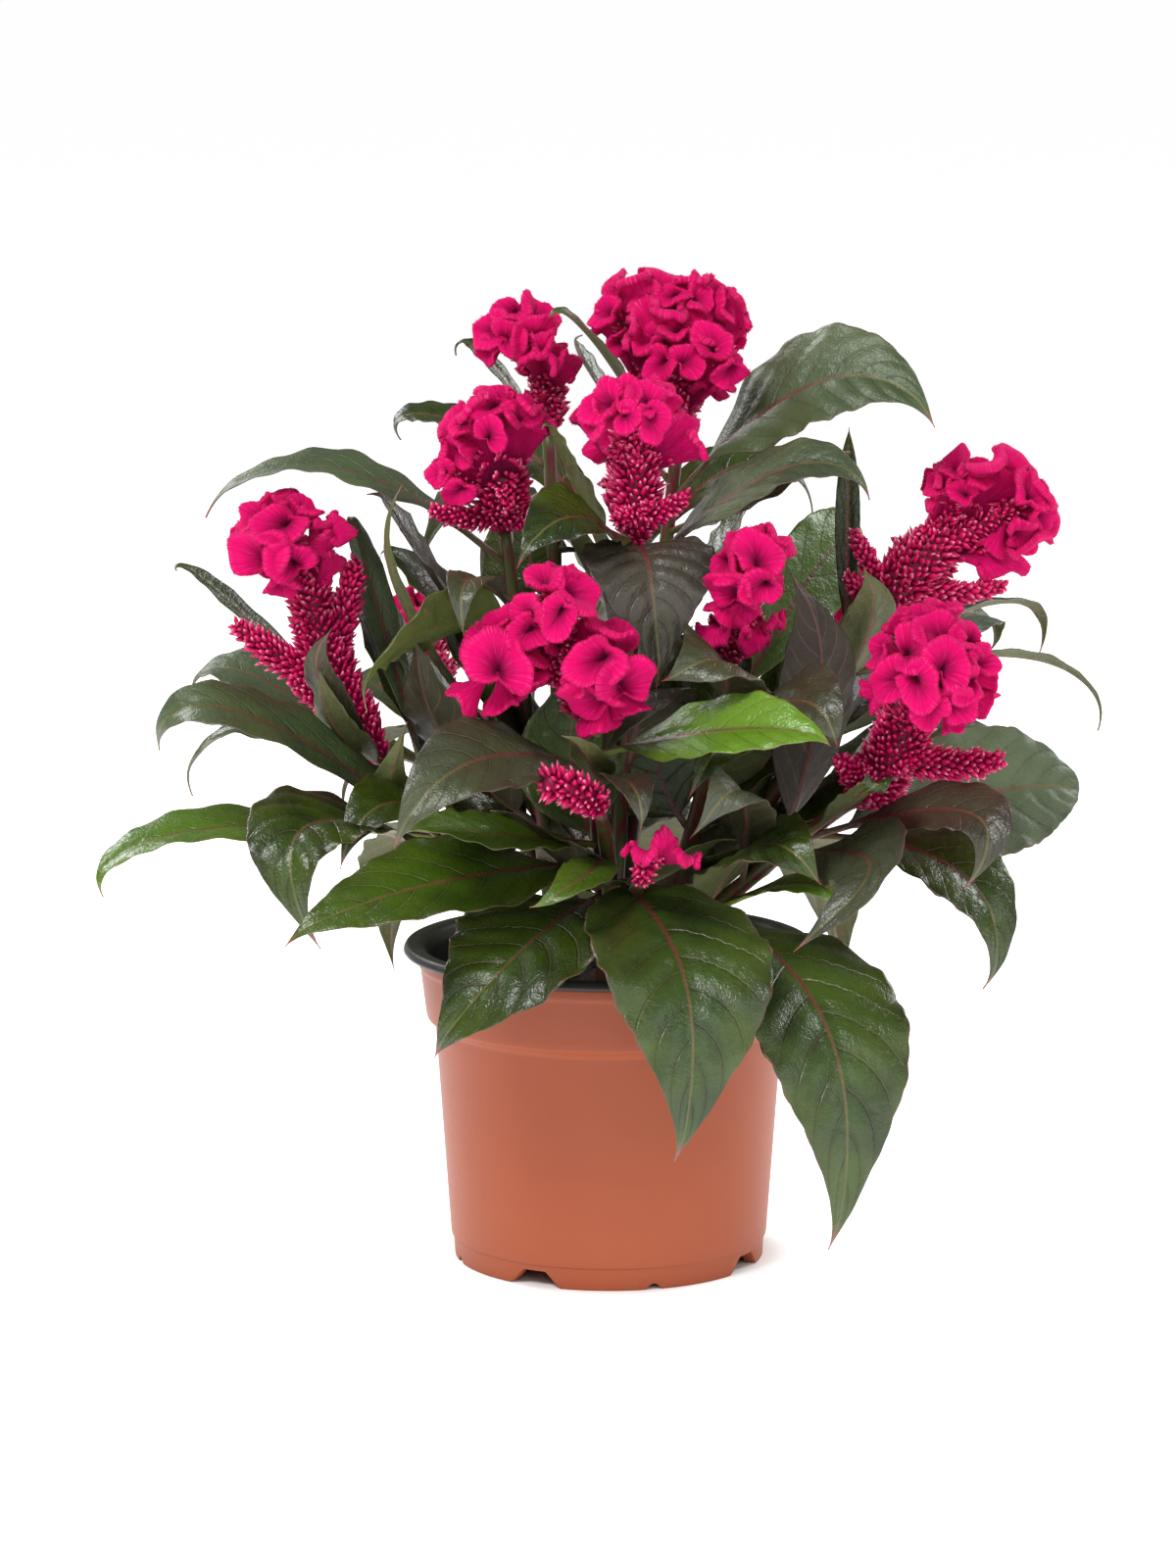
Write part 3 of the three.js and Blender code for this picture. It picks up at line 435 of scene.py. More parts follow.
def turned(profile, sides, lift=None):
    """A profile of (radius, height) pairs turned about Z. It starts and ends on the axis.

    lift(angle, height) gives the height of a point, so that a foot can have notches.
    """
    angle = np.linspace(0, 2 * np.pi, sides, endpoint=False)
    radius, height = profile[1:-1, 0], profile[1:-1, 1]
    z = height[:, None] * np.ones(sides)
    z = z if lift is None else lift(angle[None, :], z)
    rings = np.stack([radius[:, None] * np.cos(angle), radius[:, None] * np.sin(angle), z], -1)
    return closed_ends(rings, [[0, 0, profile[0, 1]], [0, 0, profile[-1, 1]]])


def notched(angle, height):
    """Squeezes the foot between its lower edge and its top: a height h becomes edge + h (1 - edge / top),
    and heights above the foot stay. The edge is a trapezium over each big notch, half a circle over each
    small one, and 0 between them."""

    def arc_length(turn):
        """How far a point is from a turn, in millimetres along the foot."""
        return FOOT_RADIUS * np.abs((angle - turn + np.pi) % (2 * np.pi) - np.pi)

    edge = np.zeros_like(angle)
    for turn in NOTCH_TURNS:
        half_bottom, half_top = BIG_NOTCH["bottom"] / 2, BIG_NOTCH["top"] / 2
        slope = (half_bottom - arc_length(turn + BIG_NOTCH["turn"])) / (half_bottom - half_top)
        edge = np.maximum(edge, BIG_NOTCH["height"] * np.clip(slope, 0, 1))
        round_edge = SMALL_NOTCH["radius"] ** 2 - arc_length(turn + SMALL_NOTCH["turn"]) ** 2
        edge = np.maximum(edge, np.sqrt(np.maximum(round_edge, 0)))
    return np.where(height < FOOT_HEIGHT, edge + height * (1 - edge / FOOT_HEIGHT), height)


# %% [markdown]
# ## Two plastics
#
# Moulded plastic is never one flat colour. The terracotta one is faintly mottled, has a fine grain that
# scatters the light, and has painted shade that darkens it a little up on the collar. The black one is
# glossy where it is clean, and greyer and rougher where soil dust lies on it. Both read Object coordinates,
# which are in metres, so the pattern has a real size: a noise of scale 900 has grains of about a millimetre.

# %% Plastic finishes
# Heights in metres between which the painted shade on the collar comes in.
COLLAR_PAINTED_SHADE_LOW, COLLAR_PAINTED_SHADE_HIGH = 0.070, 0.090


def terracotta_plastic():
    """Satin plastic of a terracotta colour, faintly mottled and finely grained, with painted shade on the
    collar.
    """
    finish = Finish("terracotta_plastic", Specular_IOR_Level=0.3, Coat_Weight=0.05, Coat_Roughness=0.35)
    place = finish.place()
    cloud, grain = finish.noise(place, 18, 3), finish.noise(place, 900)
    _, _, height = finish.split(place)
    # Painted shade: the colour darkens with height up the collar.
    collar = height.ramp(COLLAR_PAINTED_SHADE_LOW, COLLAR_PAINTED_SHADE_HIGH)
    colour = finish.layers(
        finish.mix(cloud, shade(143, 65, 35), shade(157, 77, 44)),
        (collar * 0.35, shade(112, 46, 28)),
    )
    finish.relief(grain, 0.0001, 0.35)
    return finish.dress(colour, 0.42 + 0.12 * grain)


def black_plastic():
    """Thin black plastic, glossy where it is clean and dusty in places."""
    finish = Finish("black_plastic")
    dust = finish.noise(finish.place(), 60, 4)
    colour = finish.mix(dust.ramp(0.5, 0.8), shade(7, 7, 8), shade(34, 31, 28))
    finish.relief(dust, 0.0002, 0.4)
    return finish.dress(colour, 0.28 + 0.4 * dust)


# %% The pot and its lining
def add_pot():
    """The outer pot: underside, foot ring, body, collar with a bead, and the inner wall back to the floor.
    The foot's side has rows enough for the notches to bend them."""
    inner, sole = FOOT_RADIUS - FOOT_RING, 0.01
    foot = np.linspace(0.5, FOOT_HEIGHT - 0.4, 6)
    profile = np.concatenate([
        rounded([[0, FOOT_HEIGHT - WALL], [inner, FOOT_HEIGHT - WALL], [inner + 0.3, sole],
                 [FOOT_RADIUS, sole], [FOOT_RADIUS + 0.1, 1]], 0.5, 3),
        np.stack([FOOT_RADIUS + 0.5 * foot / FOOT_HEIGHT, foot], 1)[1:],
        rounded([[FOOT_RADIUS + 0.5, FOOT_HEIGHT - 0.2], [FOOT_RADIUS + 0.5, FOOT_HEIGHT],
                 [BODY_BOTTOM_RADIUS - 0.2, FOOT_HEIGHT + 0.2], [BODY_BOTTOM_RADIUS, FOOT_HEIGHT + 1.4],
                 [BODY_TOP_RADIUS, BODY_TOP - 1], [BODY_TOP_RADIUS + 1.2, BODY_TOP + 0.4],
                 [COLLAR_BOTTOM_RADIUS - 0.4, BODY_TOP + 1.4], [COLLAR_BOTTOM_RADIUS, BODY_TOP + 3.5],
                 [COLLAR_TOP_RADIUS - 0.3, COLLAR_TOP - 4.2], [COLLAR_TOP_RADIUS + 0.3, COLLAR_TOP - 3.2],
                 [COLLAR_TOP_RADIUS + 0.3, COLLAR_TOP], [COLLAR_TOP_RADIUS - WALL, COLLAR_TOP],
                 [COLLAR_BOTTOM_RADIUS - WALL, BODY_TOP + 2.6], [BODY_TOP_RADIUS - WALL, BODY_TOP + 0.6],
                 [BODY_BOTTOM_RADIUS - WALL, FOOT_HEIGHT], [0, FOOT_HEIGHT]], 0.9),
    ])
    pot = Piece("moulded_pot")
    points, faces = turned(profile, POT_SIDES, notched)
    pot.add(points, faces, terracotta_plastic())
    pot.make("terracotta_plastic", "pot")


def collar_line(top):
    """The collar's outer radius at a height, on the straight line from the body's top."""
    share = (top - BODY_TOP) / (COLLAR_TOP - BODY_TOP)
    return BODY_TOP_RADIUS + (COLLAR_TOP_RADIUS - BODY_TOP_RADIUS) * share


def add_lining():
    """The thin black lining: down inside the pot, with a rounded lip that hangs over the collar."""
    outside, floor, hang = WALL + GAP, FOOT_HEIGHT + GAP, COLLAR_TOP + GAP
    inside = outside + LINING_WALL
    profile = rounded([
        [0, floor], [BODY_BOTTOM_RADIUS - outside, floor], [BODY_TOP_RADIUS - outside, BODY_TOP + 0.6],
        [collar_line(hang) - outside, hang], [LIP_RADIUS - 0.9, hang], [LIP_RADIUS, hang + 0.7],
        [LIP_RADIUS, hang + LIP_THICKNESS], [LIP_RADIUS - 0.9, LIP_TOP], [COLLAR_TOP_RADIUS + 0.4, LIP_TOP],
        [COLLAR_TOP_RADIUS - 1.4, LIP_TOP - 1], [collar_line(LIP_TOP - 4) - inside - 0.4, LIP_TOP - 4],
        [BODY_TOP_RADIUS - inside, BODY_TOP + 0.6], [BODY_BOTTOM_RADIUS - inside, floor + LINING_WALL],
        [0, floor + LINING_WALL],
    ], 0.8)
    lining = Piece("lining_pot")
    points, faces = turned(profile, POT_SIDES // 2)
    lining.add(points, faces, black_plastic())
    lining.make("black_plastic", "pot_lining")


add_pot()
add_lining()

# %% [markdown]
# ## Soil
#
# Potting soil is dark, matt and full of crumbs. A disc whose heights are a sum of waves of many lengths
# gives the hills, and a few hundred small angular clods on top give the crumbs that catch the light. Each
# clod is the same little ball with its points moved in and out at random, so none looks like another.

# %% Soil sizes and finish
SOIL_SEED = 11
SOIL_TOP, SOIL_SINK = 90, 0.6
SOIL_SIDES, SOIL_RINGS = 128, 39
SOIL_WAVES, LONGEST_WAVE, SHORTEST_WAVE, STEEPNESS = 14, 30, 4, 0.014
CLODS, CLOD_SMALLEST, CLOD_LARGEST = 240, 0.4, 2.4


def peat_finish():
    """Nearly black brown with paler fibres, fully matt and coarse."""
    finish = Finish("potting_soil")
    fibre = finish.noise(finish.place(), 420, 4, 0.7)
    colour = finish.mix(fibre.ramp(0.42, 0.75), shade(28, 20, 15), shade(84, 62, 46))
    finish.relief(fibre, 0.0008, 1.0)
    return finish.dress(colour, 0.95)


# %% One clod
def clod():
    """An octahedron with its edges halved and the new points set on the ball: 18 points, 32 faces."""
    axes = np.array([[1, 0, 0], [-1, 0, 0], [0, 1, 0], [0, -1, 0], [0, 0, 1], [0, 0, -1]], float)
    points, faces, seen = list(axes), [], {}

    def middle(a, b):
        key = (min(a, b), max(a, b))
        if key not in seen:
            seen[key] = len(points)
            points.append(unit(points[a] + points[b]))
        return seen[key]

    for x in (0, 1):
        for y in (2, 3):
            for z in (4, 5):
                a, b, c = (x, y, z) if (x + y + z) % 2 == 0 else (y, x, z)
                ab, bc, ca = middle(a, b), middle(b, c), middle(c, a)
                faces += [(a, ab, ca), (ab, b, bc), (ca, bc, c), (ab, bc, ca)]
    return np.array(points), np.array(faces)


# %% The plug of soil
def add_soil():
    """A plug inside the lining. Its top is at SOIL_TOP - SOIL_SINK plus the sum of its waves, each
    STEEPNESS times its own length high, in a random direction. Clods lie evenly over its area."""
    rng = np.random.default_rng(SOIL_SEED)
    inset = WALL + LINING_WALL + 2 * GAP
    floor = FOOT_HEIGHT + LINING_WALL + 2 * GAP
    edge = collar_line(SOIL_TOP) - inset
    waves = rng.uniform(-1, 1, (SOIL_WAVES, 3)) * [1, 1, np.pi]
    lengths = np.geomspace(LONGEST_WAVE, SHORTEST_WAVE, SOIL_WAVES)

    def ground(x, y):
        swell = sum(np.sin(2 * np.pi * (a * x + b * y) / l + c) * l for (a, b, c), l in zip(waves, lengths))
        return SOIL_TOP - SOIL_SINK + STEEPNESS * swell

    radii = np.linspace(edge, 0, SOIL_RINGS + 1)[:-1]
    profile = np.concatenate([
        [[0, floor], [BODY_BOTTOM_RADIUS - inset, floor], [BODY_TOP_RADIUS - inset, BODY_TOP + 0.6]],
        np.stack([radii, np.full(SOIL_RINGS, float(SOIL_TOP))], 1), [[0, SOIL_TOP]]])
    points, faces = turned(profile, SOIL_SIDES)
    top = points[:, 2] >= SOIL_TOP
    points[top, 2] = ground(points[top, 0], points[top, 1])
    soil, peat = Piece("potting_soil"), peat_finish()
    soil.add(points, faces, peat)

    ball, ball_faces = clod()
    reach, angle = edge * np.sqrt(rng.random(CLODS)) * 0.98, rng.uniform(0, 2 * np.pi, CLODS)
    size = rng.gamma(3.0, 0.33, CLODS).clip(CLOD_SMALLEST, CLOD_LARGEST)
    x, y = reach * np.cos(angle), reach * np.sin(angle)
    centre = np.stack([x, y, ground(x, y) + 0.2 * size], 1)
    shape = ball[None] * size[:, None, None] * rng.uniform(0.6, 1.25, (CLODS, len(ball), 1))
    starts = np.arange(CLODS)[:, None, None] * len(ball)
    soil.add(shape + centre[:, None], [(starts + ball_faces[None]).reshape(-1, 3)], peat)
    soil.make("peat", "soil")


add_soil()

# %% [markdown]
# ## Branches
#
# Four plants share the pot. Each fans out from its crown into branches, and each branch is a curve
# through three points: the crown, a point half way and the tip that carries a flower head. The tables
# below are in millimetres: a branch has its plant and two points, and a leaf has its branch, where on it
# (0 foot, 1 tip), a point that its midrib passes half way, its tip, its width, its roll about the midrib
# and the fold of its two halves in degrees.

# %% Roots, branches and leaves
ROOTS = {
    "left": [-15, 2],
    "front": [0, -15],
    "right": [15, -1],
    "back": [3, 16],
}

BRANCHES = {
    "upper_left": ["left", [-24, -12, 160], [-32, -24, 234]],
    "high_left": ["left", [-16, 8, 180], [-19, 4, 262]],
    "left": ["left", [-42, -10, 128], [-70, -18, 162]],
    "centre": ["front", [4, -28, 160], [8, -44, 232]],
    "front": ["front", [-3, -44, 140], [-8, -60, 180]],
    "low": ["front", [5, -46, 118], [9, -74, 134]],
    "bud": ["front", [0, -50, 130], [-3, -80, 156]],
    "mid_right": ["right", [28, -28, 150], [37, -44, 196]],
    "high_right": ["right", [54, 0, 152], [82, -6, 202]],
    "right": ["right", [44, -34, 128], [73, -52, 154]],
    "top": ["back", [12, 8, 175], [21, -6, 258]],
    "back_left": ["back", [-34, 44, 134], [-54, 64, 166]],
    "back_middle": ["back", [2, 50, 160], [6, 74, 224]],
    "back_right": ["back", [44, 44, 134], [78, 62, 168]],
}

LEAVES = {
    "apron": ["front", 0.38, [22, -104, 110], [20, -110, 54], 56, 0, 14],
    "apron_left": ["front", 0.3, [-27, -86, 115], [-55, -88, 82], 52, 12, 10],
    "sprig": ["front", 0.45, [-8, -98, 140], [-24, -110, 132], 15, 15, 12],
    "low_left": ["front", 0.42, [-56, -92, 136], [-97, -112, 123], 34, 30, 10],
    "low_left_short": ["front", 0.5, [-38, -80, 150], [-61, -98, 155], 27, 20, 10],
    "arch_left": ["front", 0.8, [-41, -102, 175], [-64, -116, 151], 29, 38, 14],
    "tongue": ["front", 0.75, [6, -106, 169], [9, -110, 155], 14, 0, 20],
    "bud_leaf": ["front", 0.7, [-6, -84, 173], [-14, -93, 182], 14, 10, 18],
    "bright": ["front", 0.86, [38, -96, 184], [65, -110, 182], 27, -40, 16],
    "low_right": ["right", 0.22, [45, -78, 146], [63, -92, 135], 32, -25, 10],
    "drape": ["centre", 0.99, [12, -66, 226], [15, -67, 190], 42, 0, 14],
    "curl": ["centre", 0.97, [-11, -70, 244], [-28, -86, 231], 28, 30, 12],
    "shadow": ["centre", 0.84, [-12, -40, 254], [-19, -44, 270], 26, 0, 14],
    "ribbon": ["centre", 0.93, [52, -56, 257], [79, -64, 249], 23, -35, 10],
    "under": ["upper_left", 0.8, [-58, -62, 208], [-76, -84, 189], 36, -45, 8],
    "narrow": ["upper_left", 0.84, [-42, -84, 227], [-43, -92, 209], 14, 10, 16],
    "long": ["upper_left", 0.93, [-85, -24, 254], [-126, -24, 240], 24, 14, 10],
    "hang": ["left", 0.42, [-90, -70, 151], [-88, -86, 114], 40, 15, 12],
    "teal": ["left", 0.4, [-64, -56, 155], [-82, -72, 137], 27, 25, 14],
    "far": ["left", 0.62, [-130, -38, 143], [-157, -52, 125], 24, 14, 10],
    "arch": ["left", 0.44, [-110, -54, 182], [-140, -40, 167], 26, 30, 12],
    "arch_back": ["left", 0.66, [-110, 8, 184], [-134, 16, 174], 27, 20, 10],
    "upright": ["upper_left", 0.45, [-64, -34, 215], [-62, -34, 249], 11, 10, 16],
    "feather": ["left", 0.75, [-116, 10, 205], [-137, 6, 218], 12, 10, 12],
    "silver": ["left", 0.72, [-75, 2, 216], [-81, -4, 235], 12, 30, 14],
    "crook": ["high_left", 0.93, [-56, 10, 267], [-67, 8, 259], 17, 20, 10],
    "wisp": ["high_left", 0.97, [-40, 14, 286], [-49, 16, 285], 9, 10, 10],
    "crown": ["top", 0.9, [66, -26, 281], [99, -42, 269], 38, -52, 12],
    "strap": ["top", 0.96, [-5, -30, 294], [-19, -38, 301], 13, 25, 14],
    "spear": ["top", 0.93, [-6, 0, 282], [-9, 2, 291], 14, 0, 18],
    "shade": ["top", 0.84, [47, -30, 248], [72, -34, 262], 26, -30, 10],
    "plum": ["right", 0.62, [64, -50, 192], [54, -46, 222], 28, 0, 16],
    "grey": ["right", 0.45, [39, -88, 164], [24, -98, 150], 22, 30, 12],
    "lime": ["right", 0.3, [59, -60, 131], [69, -62, 122], 15, -20, 10],
    "hook": ["right", 0.62, [77, -94, 143], [53, -106, 119], 30, -38, 12],
    "apron_right": ["right", 0.28, [66, -94, 90], [67, -92, 22], 50, -8, 10],
    "fall": ["right", 0.78, [107, -78, 136], [114, -82, 101], 30, -20, 12],
    "violet": ["right", 0.74, [106, -90, 158], [105, -102, 136], 24, -30, 14],
    "broad": ["right", 0.74, [123, -20, 153], [149, -6, 148], 43, -60, 6],
    "chip": ["right", 0.76, [78, -96, 167], [72, -98, 163], 15, -10, 12],
    "gloss": ["mid_right", 0.8, [33, -80, 202], [15, -90, 196], 34, 30, 10],
    "glint": ["mid_right", 0.72, [56, -86, 191], [67, -96, 177], 28, -35, 12],
    "stripe": ["mid_right", 0.7, [71, 22, 223], [81, 32, 206], 28, -60, 6],
    "thong": ["high_right", 0.84, [134, -4, 192], [155, -4, 169], 17, 8, 12],
    "thong_back": ["high_right", 0.88, [126, 20, 207], [138, 28, 188], 12, 8, 12],
    "moon": ["high_right", 0.82, [117, 50, 198], [125, 58, 184], 20, -20, 8],
    "leaf_ear": ["high_right", 0.76, [80, -34, 208], [77, -38, 224], 18, 0, 14],
    "needle": ["high_right", 0.84, [75, 12, 240], [75, 8, 262], 8, 0, 12],
    "back_low_left": ["back_left", 0.4, [-62, 84, 118], [-74, 98, 72], 46, 0, 12],
    "back_low": ["back_middle", 0.3, [10, 96, 116], [6, 106, 60], 50, 0, 12],
    "back_low_right": ["back_right", 0.4, [66, 88, 112], [80, 98, 68], 44, 0, 12],
    "back_far_left": ["back_left", 0.6, [-112, 64, 160], [-140, 70, 136], 32, 10, 10],
    "back_far_right": ["back_right", 0.6, [118, 78, 156], [142, 86, 130], 32, -10, 10],
    "back_arch_left": ["back_left", 0.7, [-84, 102, 170], [-96, 119, 144], 30, 0, 12],
    "back_arch": ["back_middle", 0.7, [-18, 102, 196], [-26, 124, 158], 32, 0, 12],
    "back_arch_right": ["back_middle", 0.6, [34, 102, 178], [48, 123, 150], 30, 0, 12],
    "back_tongue": ["back_right", 0.7, [100, 98, 164], [106, 118, 144], 26, 0, 12],
    "back_high_left": ["back_middle", 0.9, [-30, 82, 250], [-56, 92, 232], 24, 20, 10],
    "back_high_right": ["back_middle", 0.88, [44, 84, 244], [70, 90, 226], 26, -20, 10],
    "screen_centre": ["centre", 0.6, [22, -30, 205], [28, -28, 229], 34, 0, 12],
    "screen_low": ["mid_right", 0.5, [37, -54, 178], [23, -68, 158], 36, 0, 12],
    "screen_right": ["mid_right", 0.55, [36, -16, 194], [54, -22, 218], 36, 0, 12],
    "fill_left": ["upper_left", 0.4, [-59, 5, 182], [-68, 5, 213], 36, 0, 12],
    "fill_right": ["mid_right", 0.45, [46, 5, 163], [55, 5, 196], 36, 0, 12],
    "fill_high": ["top", 0.7, [35, 10, 225], [44, 10, 245], 28, 0, 12],
    "back_side_left": ["high_left", 0.42, [-62, 22, 166], [-88, 34, 138], 30, 0, 10],
    "back_side_right": ["high_right", 0.5, [84, 34, 172], [106, 46, 146], 30, 0, 10],
    "back_strap": ["high_left", 0.8, [-42, 40, 240], [-62, 56, 214], 24, 0, 12],
}

# Leaves deep inside the plants, which close the gaps between the stems, and small ones below a head.
INNER_LEAVES = {
    "inner_left": ["upper_left", 0.35, [-50, -38, 172], [-58, -46, 206], 36, 0, 12],
    "inner_left_low": ["left", 0.35, [-44, 8, 150], [-61, 12, 170], 38, 0, 12],
    "inner_left_back": ["upper_left", 0.6, [-30, -30, 200], [-38, -36, 172], 36, 0, 12],
    "inner_middle": ["top", 0.4, [-8, -10, 190], [-22, -18, 218], 42, 0, 12],
    "inner_middle_low": ["top", 0.35, [-7, 0, 142], [-19, 0, 166], 40, 0, 12],
    "inner_middle_high": ["top", 0.6, [-7, 2, 220], [-16, -6, 246], 36, 0, 12],
    "inner_front": ["centre", 0.45, [9, -42, 186], [-4, -56, 166], 34, 0, 12],
    "inner_right": ["right", 0.35, [43, 0, 136], [65, 5, 154], 38, 0, 12],
    "inner_right_low": ["mid_right", 0.3, [30, -30, 130], [44, -50, 142], 34, 0, 12],
    "inner_right_high": ["high_right", 0.6, [80, 10, 181], [88, 10, 203], 36, 0, 12],
    "inner_high_left": ["high_left", 0.7, [-25, 12, 224], [-15, 12, 248], 34, 0, 12],
    "inner_centre": ["mid_right", 0.4, [14, -20, 170], [26, -14, 204], 40, 0, 12],
    "inner_gap_left": ["upper_left", 0.6, [-58, -10, 224], [-72, -12, 246], 34, 0, 12],
    "inner_gap_far_left": ["left", 0.5, [-74, 2, 196], [-86, 0, 226], 26, 0, 12],
    "inner_behind_left": ["upper_left", 0.45, [-54, 0, 208], [-72, 2, 226], 36, 0, 12],
    "inner_front_left": ["front", 0.3, [-30, -14, 176], [-42, -22, 206], 40, 0, 12],
    "inner_back_left": ["high_left", 0.3, [-32, 4, 176], [-46, 2, 204], 40, 0, 12],
    "inner_stem_left": ["high_left", 0.2, [-20, -4, 152], [-32, -12, 182], 40, 0, 12],
    "inner_gap_right": ["high_right", 0.4, [72, -2, 152], [84, -12, 178], 38, 0, 12],
    "inner_low_right": ["right", 0.5, [68, -14, 146], [88, -16, 160], 34, 0, 12],
    "inner_stem_right": ["mid_right", 0.6, [38, -16, 186], [46, -24, 214], 38, 0, 12],
    "inner_low_left": ["left", 0.3, [-52, -16, 138], [-70, -26, 150], 36, 0, 12],
    "inner_stem_centre": ["centre", 0.4, [4, -16, 180], [-2, -24, 208], 40, 0, 12],
    "inner_foot_left": ["front", 0.1, [-10, -18, 122], [-24, -26, 146], 38, 0, 12],
    "inner_foot_right": ["right", 0.15, [24, -14, 120], [34, -22, 146], 38, 0, 12],
    "inner_behind": ["top", 0.4, [2, 8, 196], [-4, 6, 226], 42, 0, 12],
    "inner_low_middle": ["back_middle", 0.2, [-14, 22, 128], [-30, 18, 154], 42, 0, 12],
    "inner_low_back": ["back_middle", 0.3, [14, 20, 136], [30, 12, 160], 42, 0, 12],
    "inner_far_right": ["back_right", 0.35, [58, 16, 140], [80, 6, 152], 38, 0, 12],
    "inner_far_left": ["back_left", 0.3, [-48, 16, 130], [-70, 6, 142], 38, 0, 12],
    "inner_skirt_left": ["front", 0.3, [-16, -56, 138], [-34, -62, 156], 34, 0, 12],
    "inner_skirt_right": ["front", 0.3, [18, -58, 134], [36, -66, 148], 34, 0, 12],
    "inner_gap_middle": ["front", 0.45, [-12, -30, 168], [-4, -34, 196], 36, 0, 12],
    "inner_gap_right_low": ["mid_right", 0.25, [44, -34, 132], [60, -44, 150], 34, 0, 12],
    "bract_left": ["left", 0.97, [-84, -38, 176], [-88, -44, 196], 17, 0, 14],
    "bract_left_low": ["left", 0.9, [-68, -36, 156], [-62, -42, 178], 14, 0, 12],
    "bract_left_high": ["left", 0.99, [-88, -42, 190], [-84, -46, 206], 13, 0, 16],
    "inner_right_stem": ["high_right", 0.3, [48, -10, 160], [64, -18, 184], 36, 0, 12],
}

print("branches:", len(BRANCHES), "leaves:", len(LEAVES), "inner leaves:", len(INNER_LEAVES))

# %% [markdown]
# ## Curves with three points
#
# A quadratic Bezier curve bends evenly, like a young stem under its load, and three points that it passes
# are easy to choose by eye. Its tangent comes from the same formula, and together with any fixed direction
# it gives the two side directions that carry a round section along the curve.

# %% Sizes of stems
FORK_HEIGHT = 95
CROWN_RADIUS, CROWN_FOOT, CROWN_TOP, CROWN_ROWS = 4.5, 78.3, 98, 10
STEM_FOOT_RADIUS, STEM_TIP_RADIUS = 3.2, 2.0
STEM_SIDES, STEM_ROWS = 14, 28
STEM_NODES, NODE_SWELL, NODE_SHARE = 4.5, 0.1, 0.12
UPWARDS = [0.0, 0.0, 1.0]


# %% Arcs and tubes
def arc(start, middle, end, share):
    """Points and unit tangents at each share of the curve that is at middle half way: a quadratic Bezier
    curve with the control point 2 middle - (start + end) / 2."""
    start, middle, end = (np.asarray(p, float) for p in (start, middle, end))
    return bezier(start, 2 * middle - (start + end) / 2, end, share)


def branch_arc(name, share):
    """Points and tangents of a branch from its plant's fork to its tip."""
    plant, middle, tip = BRANCHES[name]
    return arc((*ROOTS[plant], FORK_HEIGHT), middle, tip, share)


def across(tangents):
    """Two unit directions square to each tangent and to each other: side = tangent x axis, with the axis
    that the curve follows least, and up = side x tangent."""
    axis = np.eye(3)[np.argmin(np.abs(np.mean(tangents, axis=0)))]
    side = unit(np.cross(tangents, axis))
    return side, np.cross(side, tangents)


def tube(points, tangents, radii, sides):
    """A round bar along a curve, with a radius for each of its points: the ring at a point is the radius
    times side cos a - up sin a. Each end closes on a middle point."""
    side, up = across(tangents)
    angle = np.linspace(0, 2 * np.pi, sides, endpoint=False)[None, :, None]
    spokes = side[:, None] * np.cos(angle) - up[:, None] * np.sin(angle)
    return closed_ends(points[:, None] + spokes * radii[:, None, None])


for name, (plant, _, tip) in BRANCHES.items():
    length = np.linalg.norm(np.diff(branch_arc(name, np.linspace(0, 1, STEM_ROWS))[0], axis=0), axis=1).sum()
    print(f"branch {name} of the {plant} plant: {length:.0f} mm long, tip {tip[2]} mm up")


# %% [markdown]
# ## Leaf finish
#
# A celosia leaf is dark green with a red midrib, sunken side veins and a silvery gleam. The veins follow
# the leaf and not the room, so the pattern reads the leaf's own coordinates: how far along the midrib, how
# far out to the margin, and the same in millimetres. The side veins are lines where a phase is a whole
# number; the same phase also shapes the quilting of the mesh, so colour and relief agree. A third
# attribute, the tint, gives three shares and says which of the leaf's faces is on top. The first is a bright
# new green, partly the leaf's own and partly painted light that shines through it; the others say how
# bronze and how pale a leaf is.

# %% Numbers of the vein pattern
VEINS = 9.5
VEIN_SWEEP, VEIN_BEND = 0.2, 1.3
MARGIN_START = 0.95


def vein_phase(along, out, right):
    """Whole numbers where a side vein runs: it leaves the midrib and bends towards the tip as it goes out,
    and the veins on the right start half way between those on the left. Works on arrays and on terms."""
    return VEINS * (along - VEIN_SWEEP * out**VEIN_BEND) + 0.5 * right


